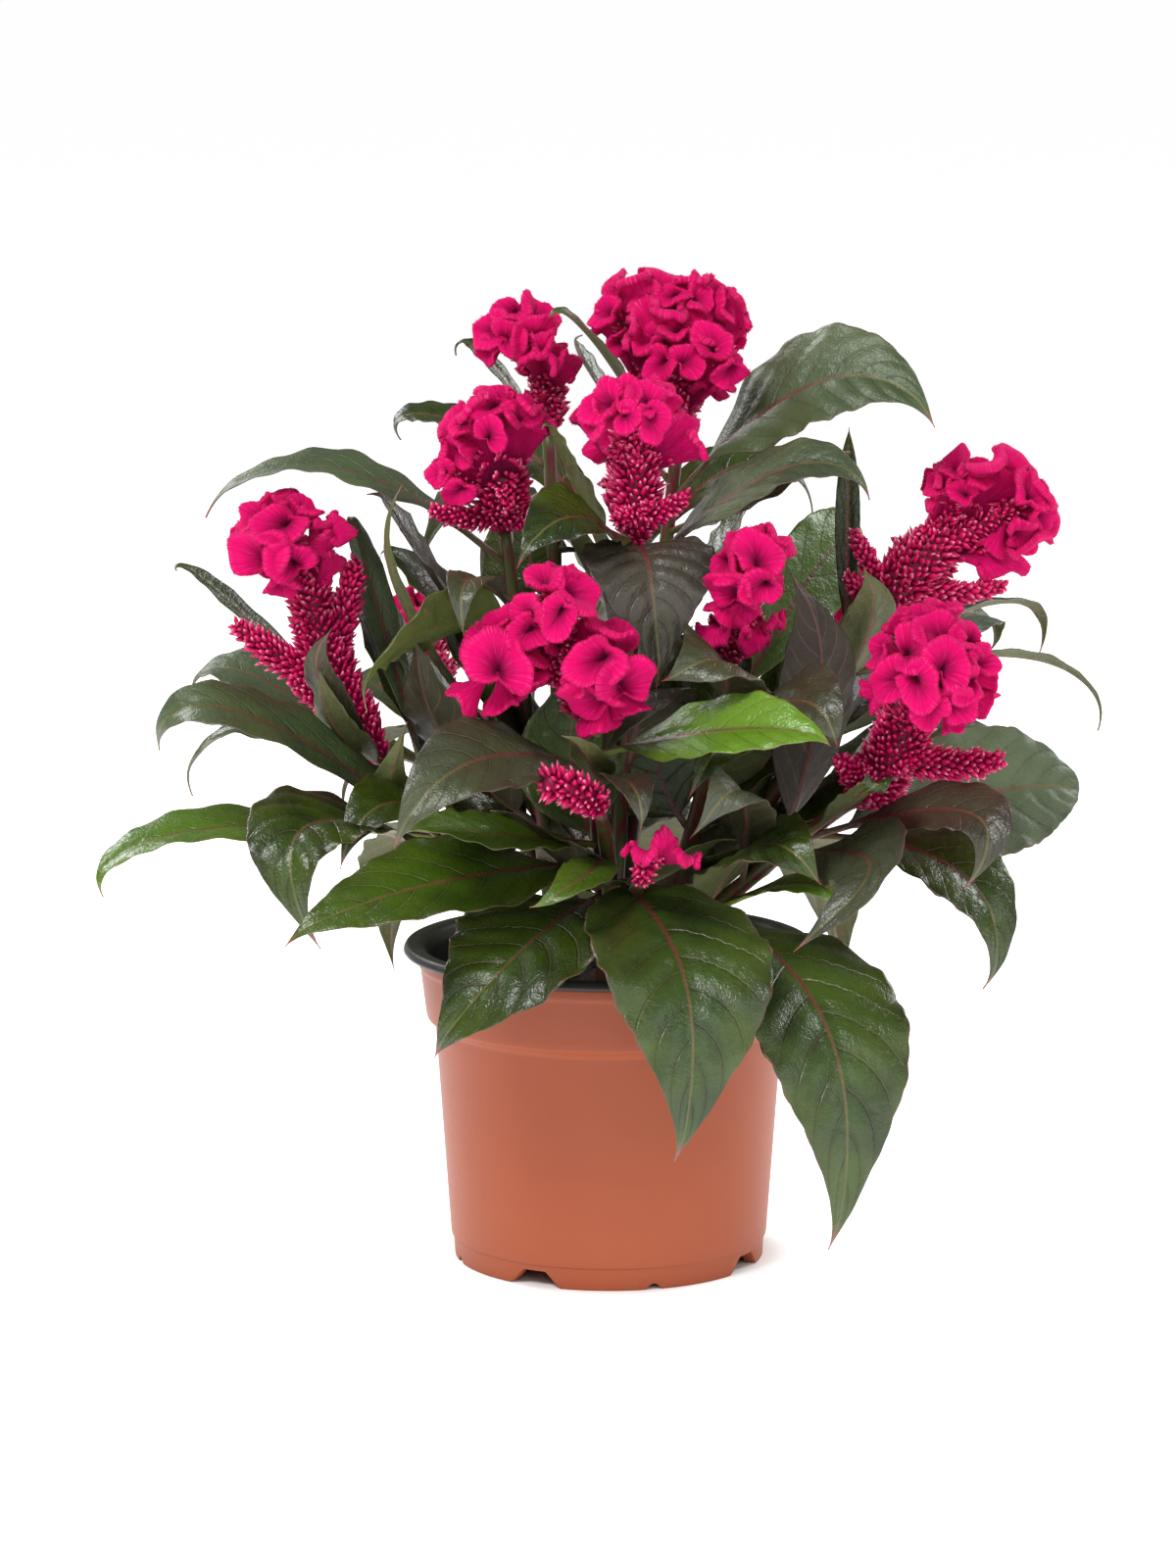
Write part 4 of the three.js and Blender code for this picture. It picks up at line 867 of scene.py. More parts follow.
# %% The leaf finish
def leaf_finish():
    """Waxy leaf: mottled green with flecks and brighter bands between the veins, then the leaf's own bronze
    and pale shares, a bright new green that is partly painted light shining through the leaf, pale side
    veins, a red to tan midrib, a broken dark red margin, and a red tip and stalk. The underside is paler and
    duller, and where it takes the new green that is partly painted light too. A fine net of cells and puckers
    roughens it."""
    finish = Finish("celosia_leaf", Specular_IOR_Level=0.5)
    place = finish.place()
    along, out = finish.uv("shape")
    _, width = finish.uv("size")
    tint = finish.node("ShaderNodeAttribute", {"attribute_name": "tint"})
    fresh_backlit, bronze, pale = finish.split(tint.outputs["Color"])
    above = Term(finish, tint.outputs["Alpha"])
    right = out.math("GREATER_THAN", 0.0)
    reach, width = abs(out), abs(width)
    gap = abs((vein_phase(along, reach, right) + 0.5).fract() - 0.5)
    vein = (1 - gap.ramp(0.015, 0.055)) * (1 - reach.ramp(0.8, 1.0)) * width.ramp(0.4, 1.2)
    rib = 1 - (width - (0.95 - 0.75 * along)).ramp(-0.25, 0.2)
    cloud = finish.noise(place, 45, 3)
    fleck = finish.noise(place, 420, 3, 0.6)
    pucker = finish.noise(place, 430)
    cell = finish.term("ShaderNodeTexVoronoi", {"feature": "DISTANCE_TO_EDGE"},
                       {"Vector": place, "Scale": 760.0})

    # Partly painted light: a bright new green that also stands in for light shining through the leaf.
    young_backlit_green = finish.mix(cloud, shade(70, 112, 16), shade(112, 148, 36))
    red_to_tan = finish.mix(along.ramp(0.2, 0.85), shade(104, 34, 46), shade(96, 92, 52))
    margin = reach.ramp(MARGIN_START, 0.99) * finish.noise(place, 260, 1).ramp(0.35, 0.6)
    green = finish.layers(
        finish.mix(cloud.ramp(0.3, 0.7), shade(20, 31, 1), shade(52, 66, 3)),
        (fleck.ramp(0.5, 0.8) * 0.15, shade(58, 80, 28)),
        (gap.ramp(0.05, 0.3) * (1 - reach) * 0.4, shade(48, 78, 12)),
        (bronze * (0.55 + 0.35 * cloud), shade(58, 38, 45)),
        (pale * (0.4 + 0.4 * cloud), shade(88, 102, 76)),
        (fresh_backlit * (0.4 + 0.5 * along.ramp(0.1, 0.6)), young_backlit_green),
        (vein * 0.12, shade(96, 96, 50)),
        (rib * 0.8, red_to_tan),
        (margin * 0.45, shade(104, 44, 50)),
        (along.ramp(0.93, 1.0) * 0.7, shade(150, 60, 76)),
        ((1 - along.ramp(0.06, 0.14)) * 0.7, shade(116, 60, 56)),
    )
    below = finish.layers(
        finish.mix(cloud, shade(66, 76, 36), shade(92, 98, 56)),
        (bronze * 0.8, shade(50, 34, 36)),
        (vein * 0.5 + rib * 0.6, shade(130, 84, 78)),
        # Partly painted light: the bright underside of a thin leaf lit from behind.
        (fresh_backlit * 0.8, shade(136, 160, 72)),
    )
    height = cell.ramp(0.0, 0.25) * 0.12 + pucker * 0.9 + fleck * 0.3 - vein * 0.7 * above
    finish.relief(height, 0.0005, 0.7)
    return finish.dress(finish.mix(above, below, green), 0.24 + 0.2 * fleck + pale * 0.2 + (1 - above) * 0.2)


def stem_finish():
    """Smooth green stem, streaked with red along its length."""
    finish = Finish("celosia_stem")
    stretch = finish.node("ShaderNodeMapping", {}, {"Vector": finish.place(), "Scale": (1, 1, 0.12)})
    streak = finish.noise(stretch.outputs[0], 600)
    colour = finish.mix(streak.ramp(0.35, 0.65), shade(58, 76, 24), shade(96, 30, 40))
    finish.relief(streak, 0.0002, 0.5)
    return finish.dress(colour, 0.45)


LEAF, STEM = leaf_finish(), stem_finish()
print("nodes of the leaf finish:", len(LEAF.node_tree.nodes))


# %% [markdown]
# ## Leaves
#
# A leaf's midrib is one of the three-point curves. A row of points goes across it at each step: out to the
# margin on both sides, folded up a little, waved at the margin and quilted between the veins. Near the tip
# the rows sink, so the tip hooks down as it does on a leaf that is heavy with water. The back of the leaf is
# the same row set lower, so the leaf is a closed flat tube with a real edge. Wide leaves get a finer grid,
# because their veins show more, and the leaves deep inside get a coarse one.

# %% Sizes of leaves
BLADE = 0.5
STALK_RADIUS, STALK_SHARE = 1.1, 0.1
TIP_HALF_WIDTH = 0.12
MARGIN_WAVE, MARGIN_WAVES = 0.07, 2.2
RIPPLE, RIPPLES = 0.05, 7.3
TOOTH, TEETH = 0.028, VEINS * 1.9
QUILT, QUILT_FULL_WIDTH = 1.35, 17
GROOVE, GROOVE_WIDTH = 0.5, 1.3
RIB, RIB_WIDTH = 0.55, 1.1
HOOK, HOOK_START, HOOK_FULL_WIDTH = 3.2, 0.86, 30
ROW_CROWD, COLUMN_CROWD = 0.94, 0.9 * np.pi / 2

# The grid of a leaf, as rows and columns of points, for each greatest width.
LEAF_GRIDS = [(18, 36, 11), (30, 52, 15), (36, 62, 17), (70, 84, 21)]
INNER_GRIDS = [(70, 24, 9)]

# How new and green, how bronze and how pale a leaf is; the first share is partly painted light that
# shines through the leaf. The others are plain.
LEAF_LOOKS = {
    "bright": (1, 0, 0), "lime": (1, 0, 0), "far": (0.55, 0, 0), "low_left_short": (0.35, 0, 0),
    "sprig": (0.4, 0.1, 0), "stripe": (0.8, 0, 0.2), "under": (0.3, 0, 0), "low_left": (0.15, 0, 0),
    "drape": (0, 1, 0.2), "plum": (0, 1, 0), "arch_left": (0, 0.5, 0.3), "hook": (0, 0.7, 0.35),
    "violet": (0, 0.8, 0.1), "tongue": (0, 0.6, 0), "grey": (0, 0.6, 0.5), "narrow": (0, 0.6, 0.2),
    "crown": (0, 0, 0.6), "long": (0, 0, 0.6), "ribbon": (0, 0.2, 0.5), "broad": (0, 0.1, 0.9),
    "arch": (0, 0, 0.5), "arch_back": (0, 0, 0.7), "moon": (0, 0, 0.8), "thong": (0, 0, 0.5),
    "silver": (0, 0.1, 1), "gloss": (0, 0.6, 0.2), "glint": (0, 0.7, 0.1), "screen_right": (0.5, 0, 0),
    "apron": (0.06, 0, 0.12), "apron_right": (0.05, 0, 0.1),
}
PLAIN = (0, 0, 0)
# The inner leaves' tints, in turn; the bronze is partly their own and partly painted shade deep in the plant.
INNER_LOOKS_WITH_PAINTED_SHADE = [(0, 0.8, 0), (0, 0.2, 0), (0.1, 0.05, 0)]
print("leaves wider than 30 mm:", sum(row[4] > 30 for row in LEAVES.values()))


# %% The parts of a leaf's shape
def leaf_half_width(t, width):
    """Half the width: 4.42 u^0.8 (1 - u)^1.5 of half the full width, where u runs from the end of the
    stalk to the tip, and never less than the stalk, which thins towards the tip."""
    u = np.clip((t - STALK_SHARE) / (1 - STALK_SHARE), 0, 1)
    blade = width / 2 * 4.42 * u**0.8 * (1 - u) ** 1.5
    stalk = STALK_RADIUS * 0.9 * (1 - ease(t, 0.1, 0.4))
    return np.maximum(blade, stalk + TIP_HALF_WIDTH)


def leaf_frame(row, t):
    """The midrib's points at t along it, with a side and a normal direction at each: flat is heading x up
    made square to the midrib, side is flat turned by the roll, and normal = side x tangent."""
    branch, at, middle, tip, _, roll, _ = row
    start = branch_arc(branch, at)[0]
    mid, tangent = arc(start, middle, tip, t)
    heading = np.array([tip[0] - start[0], tip[1] - start[1], 0])
    level = unit(np.cross(heading, [0, 0, 1]))
    flat = unit(level - tangent * (tangent @ level)[:, None])
    turn = (np.radians(roll) * ease(t, 0, 0.3))[:, None]
    side = flat * np.cos(turn) + np.cross(flat, tangent) * np.sin(turn)
    return mid, side, np.cross(side, tangent)


def leaf_rise(t, q, half, width, fold, index):
    """How far the blade stands off its flat shape at t along and q across: h (|q| sin(fold) (1 - 0.35 |q|)
    + q^2 wave), and quilting between the veins, less a groove over the midrib and the hook of the tip."""
    reach, right = np.abs(q), (q > 0).astype(float)
    wave = (MARGIN_WAVE * np.sin(2 * np.pi * (MARGIN_WAVES * t + 0.37 * index) + 1.7 * right)
            + RIPPLE * np.sin(2 * np.pi * RIPPLES * t + 3 * right + index) * reach**3)
    rise = half * (reach * np.sin(fold) * (1 - 0.35 * reach) + q**2 * wave)
    gap = np.abs((vein_phase(t, reach, right) + 0.5) % 1 - 0.5)
    quilt = QUILT * np.minimum(half / QUILT_FULL_WIDTH, 1.2) * (np.sin(np.pi * gap) ** 0.7 - 0.5)
    groove = GROOVE * np.exp(-((q * half / GROOVE_WIDTH) ** 2)) * ease(half, 2, 6)
    bend = np.clip((t - HOOK_START) / (1 - HOOK_START), 0, 1) ** 2
    hook = HOOK * np.minimum(width / HOOK_FULL_WIDTH, 1.2) * bend
    return rise + quilt * (1 - reach**4) * ease(reach, 0.02, 0.25) - groove - hook


def leaf_thickness(t, q, half):
    """How far the upper and the lower face are from the middle: half the blade, thinner at the margin, with
    a round stalk at the foot and a raised midrib below."""
    bare = 1 - ease(t, 0.05, 0.24)
    skin = BLADE / 2 * (1 - 0.55 * q**2)
    plump = STALK_RADIUS * bare * np.sqrt(np.clip(1 - q**2, 0, 1))
    rib = RIB * (1 - 0.8 * t) * np.exp(-((q * half / RIB_WIDTH) ** 2)) * (1 - bare)
    return skin + 0.45 * plump, skin + plump + rib


# %% One leaf
def add_leaf(piece, index, row, look, grids):
    """Adds one leaf, a row of a table, to a piece. A point at q across (-1 to 1) is the midrib's point
    + side q h cos(fold) + normal rise, with h the half width. Small teeth lengthen q at the margin."""
    width, fold = row[4], np.radians(row[6])
    rows, columns = next((r, c) for limit, r, c in grids if width <= limit)
    t = np.linspace(0, 1, rows) ** ROW_CROWD
    mid, side, normal = leaf_frame(row, t)
    side, normal = side[:, None], normal[:, None]
    t = t[:, None]
    q = (np.sin(np.linspace(-1, 1, columns) * COLUMN_CROWD) / np.sin(COLUMN_CROWD))[None, :]
    half = leaf_half_width(t, width)
    tooth = 1 + TOOTH * np.abs(np.sin(np.pi * TEETH * t + index)) * np.abs(q) ** 6 * ease(t, 0.2, 0.4)
    rise = leaf_rise(t, q, half, width, fold, index)
    surface = mid[:, None] + side * (q * half * np.cos(fold) * tooth)[..., None] + normal * rise[..., None]
    above, under = leaf_thickness(t, q, half)
    lower = surface - normal * under[..., None]
    points, faces = closed_ends(np.concatenate([surface + normal * above[..., None], lower[:, ::-1]], 1))

    length = np.linalg.norm(np.diff(mid, axis=0), axis=1).sum()
    upper_uv = np.stack(np.broadcast_arrays(t, q, t * length, q * half), -1)
    uv = np.concatenate([upper_uv, upper_uv[:, ::-1]], 1).reshape(-1, 4)
    tint = np.zeros((rows, 2 * columns, 4))
    tint[..., :3] = look
    tint[:, :columns, 3] = 1
    piece.add(points, faces, LEAF, np.concatenate([uv, [[0, 0, 0, 0], [1, 0, length, 0]]]),
              np.concatenate([tint.reshape(-1, 4), [[*look, 1]] * 2]))


# %% Plants
def add_plant(plant):
    """One plant of the pot: its crown, its branches with a slight swelling at each node, and its leaves."""
    piece = Piece(f"leafy_plant_{plant}")
    root = np.zeros((CROWN_ROWS, 3)) + [*ROOTS[plant], 0]
    root[:, 2] = np.linspace(CROWN_FOOT, CROWN_TOP, CROWN_ROWS)
    swell = CROWN_RADIUS * (0.86 + 0.14 * np.sin(np.linspace(0.4, 2.6, CROWN_ROWS)))
    piece.add(*tube(root, np.tile(UPWARDS, (CROWN_ROWS, 1)), swell, STEM_SIDES), STEM)
    t = np.linspace(0, 1, STEM_ROWS)
    for name in (name for name, row in BRANCHES.items() if row[0] == plant):
        points, tangents = branch_arc(name, t)
        node = 1 + NODE_SWELL * np.exp(-(((t * STEM_NODES) % 1 - 0.5) / NODE_SHARE) ** 2)
        radii = (STEM_FOOT_RADIUS + (STEM_TIP_RADIUS - STEM_FOOT_RADIUS) * t) * node
        piece.add(*tube(points, tangents, radii, STEM_SIDES), STEM)
    for index, (name, row) in enumerate(LEAVES.items()):
        if BRANCHES[row[0]][0] == plant:
            add_leaf(piece, index, row, LEAF_LOOKS.get(name, PLAIN), LEAF_GRIDS)
    for index, row in enumerate(INNER_LEAVES.values()):
        if BRANCHES[row[0]][0] == plant:
            add_leaf(piece, index, row, INNER_LOOKS_WITH_PAINTED_SHADE[index % len(INNER_LOOKS_WITH_PAINTED_SHADE)], INNER_GRIDS)
    piece.make("foliage", f"plant_{plant}")


for plant in ROOTS:
    add_plant(plant)

# %% [markdown]
# ## Flower heads
#
# A cockscomb is a stem tip that grew sideways. Below, it is a column of small pointed florets. Above, it
# widens into a ribbon whose rim is much longer than its foot, so it has to fold into cups and waves, with
# a velvet face and a bristly rim. Long waves of it are made as crests, and its tightest folds as fans.
#
# The table below is in millimetres. A head has the neck, where its column ends, and the column's radius. A
# crest has how many waves it has, how deep they are, its root and the points that its rim goes along. A
# cluster has its heart, half its width, how far its fans stand forward, and for each fan how far it is to
# the right and up, and its radius. A plume has where on the column it starts, its tip and its radius.

# %% Flower heads
# Fans of a cluster that faces away: to the right of its heart, up from it, and radius.
BACK_FANS = [[0, 0, 6.5], [9, 4, 6], [1, 10, 6], [-9, 5, 6], [-9, -5, 4.8], [-1, -10, 5.2], [8, -6, 4.8]]


def back_cluster(heart, span, reach):
    """A cluster on the far side, with the same seven fans about its heart."""
    return [heart, span, reach, [[heart[0] + x, heart[2] + z, radius] for x, z, radius in BACK_FANS]]


HEADS = {
    "top": {
        "neck": [20, -8, 272], "column": 5,
        "crests": [
            [4, 4.8, [20, -7, 268], [[-2, -4, 295], [-1, -8, 307], [8, -10, 312], [21, -10, 310],
                [33, -8, 310], [41, -6, 300], [41, -6, 291]]],
            [3, 4.2, [19, -11, 270], [[5, -20, 292], [8, -22, 300], [17, -20, 303], [27, -20, 299],
                [34, -24, 291], [34, -28, 280]]],
        ],
        "clusters": [
            [[5.4, -6.4, 296.6], 11, 12, [[-2, 301, 4.5], [4, 291, 4]]],
            [[32.6, -17.4, 287.5], 12, 13, [[31, 293, 5.5], [37, 283, 4.5], [30, 276, 4.5]]],
        ],
        "plumes": [],
    },
    "high_left": {
        "neck": [-19, 2, 278], "column": 5,
        "crests": [
            [2, 3.5, [-19, 1, 275], [[-27, -14, 288], [-22, -16, 291], [-16, -14, 288], [-12, -10, 280]]],
        ],
        "clusters": [
            [[-29, -2, 292], 13, 15, [[-37, 295, 5.5], [-30, 302, 5], [-21, 301, 5.5], [-38, 289, 4],
                [-31, 293, 5], [-23, 293, 6.5], [-15, 286, 4]]],
        ],
        "plumes": [],
    },
    "upper_left": {
        "neck": [-33, -32, 254], "column": 7.5,
        "crests": [
            [3, 5, [-33, -36, 251], [[-51, -34, 252], [-50, -40, 267], [-43, -42, 275], [-34, -42, 279],
                [-25, -40, 275], [-18, -36, 267]]],
        ],
        "clusters": [
            [[-35, -34, 265], 15, 17, [[-45, 271, 4.5], [-36, 276, 5.5], [-26, 273, 5.5],
                [-20, 269, 4.5], [-47, 260, 4.5], [-36, 267, 4.5]]],
        ],
        "plumes": [[0.3, [-54, -44, 243], 3.6], [0.15, [-13, -40, 245], 3]],
    },
    "centre": {
        "neck": [7, -48, 266], "column": 6.5,
        "crests": [
            [1.5, 3.5, [11, -48, 257], [[15, -50, 273], [20, -54, 272], [25, -54, 268], [28, -50, 260]]],
        ],
        "clusters": [
            [[6, -54, 272], 14, 17, [[-3, 278, 6], [-6, 272, 5], [5, 281, 4.5], [11, 279, 5.5],
                [18, 281, 5], [20, 276, 4], [13, 273, 5.5], [5, 274, 4]]],
        ],
        "plumes": [[0.3, [23, -58, 249], 3.6], [0.4, [2, -56, 242], 3.6]],
    },
    "left": {
        "neck": [-92, -24, 216], "column": 7,
        "crests": [
            [2, 4, [-92, -25, 214], [[-91, -30, 242], [-85, -34, 237], [-85, -34, 230], [-88, -30, 220]]],
        ],
        "clusters": [
            [[-100, -30, 231], 15, 18, [[-109, 241, 5.5], [-100, 239, 7], [-107, 229, 8],
                [-97, 227, 6.5], [-100, 217, 5], [-99, 246, 5], [-106, 245, 4], [-93, 244, 4.5],
                [-114, 234, 4]]],
        ],
        "plumes": [[0.6, [-78, -24, 225], 4.5], [0.5, [-115, -30, 206], 4.5], [0.35, [-98, -30, 189], 3.6]],
    },
    "front": {
        "neck": [-8, -68, 198], "column": 5,
        "crests": [],
        "clusters": [
            [[-33, -84, 202], 12, 16, [[-33, 204, 8.5], [-34, 215, 6], [-23, 208, 5.5], [-45, 190, 5.5],
                [-31, 188, 6], [-23, 194, 5.5]]],
            [[-2, -84, 200], 12, 18, [[2, 213, 8], [-4, 205, 7.5], [5, 198, 7.5], [-6, 191, 7.5],
                [-3, 181, 5.5], [6, 186, 5], [-11, 199, 4.5]]],
            [[-17, -86, 219], 11, 15, [[-20, 229, 5], [-9, 225, 7], [-25, 219, 5], [-15, 218, 5.5],
                [-14, 231, 4.5]]],
        ],
        "plumes": [],
    },
    "mid_right": {
        "neck": [40, -54, 212], "column": 6,
        "crests": [
            [2, 3.5, [41, -57, 211], [[28, -62, 210], [36, -66, 209], [45, -66, 208], [52, -60, 209]]],
        ],
        "clusters": [
            [[43, -66, 227], 13, 16, [[44, 234, 6.5], [33, 231, 5.5], [35, 222, 6.5], [32, 213, 4.5],
                [40, 239, 5], [52, 237, 5], [45, 224, 5.5], [40, 216, 4.5]]],
        ],
        "plumes": [],
    },
    "high_right": {
        "neck": [104, -8, 230], "column": 8,
        "crests": [
            [4, 5, [105, -10, 229], [[99, -14, 241], [102, -18, 252], [112, -20, 256], [124, -20, 256],
                [135, -20, 246], [136, -20, 234], [128, -20, 226], [114, -18, 223]]],
        ],
        "clusters": [
            [[124, -16, 240], 13, 13, [[130, 247, 5.5], [134, 238, 4.5], [127, 232, 5.5],
                [118, 227, 4.5], [123, 253, 4.5]]],
        ],
        "plumes": [[0.4, [122, -14, 216], 3.8], [0.3, [76, -18, 233], 3.6], [0.2, [74, -14, 219], 3.6]],
    },
    "right": {
        "neck": [90, -62, 184], "column": 8,
        "crests": [],
        "clusters": [
            [[96, -78, 199], 19, 24, [[82, 198, 6], [90, 198, 6.5], [88, 208, 6], [97, 213, 6.5],
                [99, 219, 4.8], [99, 204, 6.5], [107, 211, 5.5], [111, 204, 4.8], [106, 197, 5],
                [115, 197, 4.5], [103, 191, 5.5], [113, 188, 4.8], [105, 182, 5], [79, 206, 4.8],
                [84, 215, 5], [76, 190, 4], [92, 217, 4.5], [94, 189, 5]]],
        ],
        "plumes": [[0.6, [117, -74, 171], 4.5], [0.3, [69, -78, 172], 4]],
    },
    "low": {
        "neck": [12, -88, 144], "column": 3.2,
        "crests": [
            [1.5, 2.5, [12, -89, 143], [[6, -96, 150], [13, -101, 148], [19, -102, 150], [26, -100, 145]]],
        ],
        "clusters": [],
        "plumes": [],
    },
    "bud": {
        "neck": [-19, -96, 168], "column": 4.5,
        "crests": [],
        "clusters": [],
        "plumes": [],
    },
    "back_left": {
        "neck": [-58, 72, 180], "column": 6,
        "crests": [],
        "clusters": [back_cluster([-60, 80, 192], 14, -16)],
        "plumes": [[0.4, [-74, 84, 186], 4]],
    },
    "back_middle": {
        "neck": [8, 78, 242], "column": 7,
        "crests": [
            [3, 5, [8, 79, 239], [[-10, 84, 258], [-2, 86, 268], [10, 88, 270], [21, 84, 264]]],
        ],
        "clusters": [back_cluster([6, 90, 252], 15, -18)],
        "plumes": [],
    },
    "back_right": {
        "neck": [84, 68, 182], "column": 6,
        "crests": [],
        "clusters": [back_cluster([88, 80, 193], 14, -16)],
        "plumes": [[0.4, [102, 72, 190], 4]],
    },
}

# More clusters of small fans, where the rims frill most: on the widest crests, and in the arch of the front
# head.
FRILLS = {
    "top": [
        [[21, -8, 298], 20, 12, [[10, 306, 4.8], [19, 307, 4.2], [28, 306, 4.4], [37, 303, 4.6]]],
        [[20, -16, 284], 16, 14, [[11, 294, 4.8], [20, 297, 4.4], [28, 295, 4], [15, 286, 4.8],
            [24, 287, 4.6]]],
    ],
    "high_right": [
        [[108, -12, 244], 15, 10, [[101, 249, 4.2], [107, 254, 4.2], [114, 252, 4.6], [109, 246, 4]]],
    ],
    "upper_left": [
        [[-44, -32, 252], 14, 12, [[-52, 254, 4], [-46, 248, 4.2]]],
    ],
    "front": [
        [[-26, -82, 210], 9, 15, [[-31, 214, 6.5], [-24, 213, 5.5], [-17, 211, 5]]],
    ],
}

print("heads:", len(HEADS), "crests:", sum(len(head["crests"]) for head in HEADS.values()),
      "clusters:", sum(len(head["clusters"] + FRILLS.get(name, [])) for name, head in HEADS.items()))

# %% [markdown]
# ## Velvet and florets
#
# The crest is strongly coloured and almost without gloss: a magenta with painted shade deep in the throats
# and low on the ribbon and a painted highlight at the rim, combed with fine lines that run from throat to
# rim. The lines come from a noise on the piece's own millimetres that is stretched towards the rim. The
# florets are papery and glossier, and some of them have pale tips. The rim's bristles share that finish, so
# the bristly edge catches the light.


# %% Crest and floret finishes
def crest_finish():
    """Velvet: lines along the ribbon's height, painted shade low on the ribbon and in the throats, and a
    painted highlight at the rim.
    """
    finish = Finish("crest_velvet", Specular_IOR_Level=0.06, Sheen_Weight=0.12, Sheen_Roughness=0.4,
                    Sheen_Tint=(1.0, 0.25, 0.5, 1.0))
    place = finish.place()
    _, height = finish.uv("shape")
    rim, up = finish.uv("size")
    comb = finish.noise(finish.join(rim * 2.3, up * 0.18, 0.0), 1.0, 3, 0.6)
    tuft = finish.noise(finish.join(rim * 0.5, up * 0.1, 3.0), 1.0)
    cloud = finish.noise(place, 70, 3)
    colour = finish.layers(
        # Painted shade: the colour darkens from the rim down to the root and into the fans' throats.
        finish.mix(height.ramp(0.0, 0.5), shade(88, 0, 42), shade(158, 0, 72)),
        (height.ramp(0.35, 0.9), shade(196, 7, 90)),
        (comb.ramp(0.5, 0.72) * 0.26, shade(230, 84, 144)),
        (comb.ramp(0.5, 0.3) * 0.24, shade(122, 0, 52)),
        (tuft.ramp(0.5, 0.3) * 0.25, shade(130, 0, 56)),
        (cloud.ramp(0.55, 0.8) * 0.2, shade(150, 0, 64)),
        # Painted highlight along the very rim, broken by the comb's lines.
        (height.ramp(0.97, 1.0) * comb.ramp(0.45, 0.65) * 0.3, shade(226, 80, 130)),
    )
    finish.relief(comb * 0.7 + tuft * 0.3, 0.0006, 0.7)
    return finish.dress(colour, 0.85)


def floret_finish():
    """Papery florets: deep at the foot, magenta in the middle, some with pale shining tips."""
    finish = Finish("floret_paper", Specular_IOR_Level=0.35)
    pick, along = finish.uv("shape")
    colour = finish.layers(
        finish.mix(along.ramp(0.0, 0.6), shade(120, 0, 50), shade(200, 10, 90)),
        (pick * 0.35, shade(152, 2, 68)),
        (along.ramp(0.62, 1.0) * pick.ramp(0.3, 0.8) * 0.85, shade(250, 150, 184)),
    )
    return finish.dress(colour, 0.55 - 0.2 * along)


VELVET, FLORET = crest_finish(), floret_finish()
print("nodes of the velvet:", len(VELVET.node_tree.nodes), "and of the florets:", len(FLORET.node_tree.nodes))


# %% [markdown]
# ## Crest ribbons
#
# The rim is a smooth curve through the table's points. The ribbon hangs between it and its root: its
# height parameter v is 0 at the root and 1 at the rim. Going along the rim, the ribbon swings to one side
# and the other and also a little back and forth, and this double swing closes its waves into round cups.
# Thin bristles stand in three rows over the rim, and they break up its outline as the real fringe does.

# %% Sizes of crests
CREST_GATHER, CREST_SWELL = 0.22, 1.25
CREST_THICKNESS, RIM_THICKNESS = 1.3, 2.3
CREST_COLUMNS, CREST_ROWS, RIM_ROWS = 40, 20, 4
RUFFLE, RUFFLES, RUFFLE_WAVES = 1.9, 3.3, (1, 1.7, 2.9)
RIM_RISE, RISE_WAVES = 1.3, (1.3, 2.6, 6.1)
BRISTLE_PITCH, BRISTLE_LENGTH, BRISTLE_RADIUS = 0.48, 0.7, 0.1
BRISTLE_TURNS, BRISTLE_SPREAD, BRISTLE_SHADES = (0.5, 1.3, 2.2), 0.25, (0.6, 0.68)


# %% The rim curve and the ribbon
def smooth_curve(points, share):
    """Points and unit tangents of the uniform Catmull-Rom curve: between two points, half of
    2 b + (c - a) k + (2 a - 5 b + 4 c - d) k^2 + (3 b - a - 3 c + d) k^3, with mirrored end points."""
    points = np.asarray(points, float)
    padded = np.concatenate([[2 * points[0] - points[1]], points, [2 * points[-1] - points[-2]]])
    spans = len(points) - 1
    place = np.clip(share, 0, 1) * spans
    first = np.minimum(place.astype(int), spans - 1)
    k = (place - first)[..., None]
    a, b, c, d = (padded[first + n] for n in range(4))
    bend, twist = 2 * a - 5 * b + 4 * c - d, 3 * b - a - 3 * c + d
    on = (2 * b + (c - a) * k + bend * k**2 + twist * k**3) / 2
    return on, unit((c - a) + 2 * bend * k + 3 * twist * k**2)


def mixed_waves(angle, numbers, rng):
    """The sum of sin(n angle + a random turn) / n over the numbers n."""
    return sum(np.sin(n * angle + turn) / n for n, turn in zip(numbers, rng.uniform(0, 6, len(numbers))))


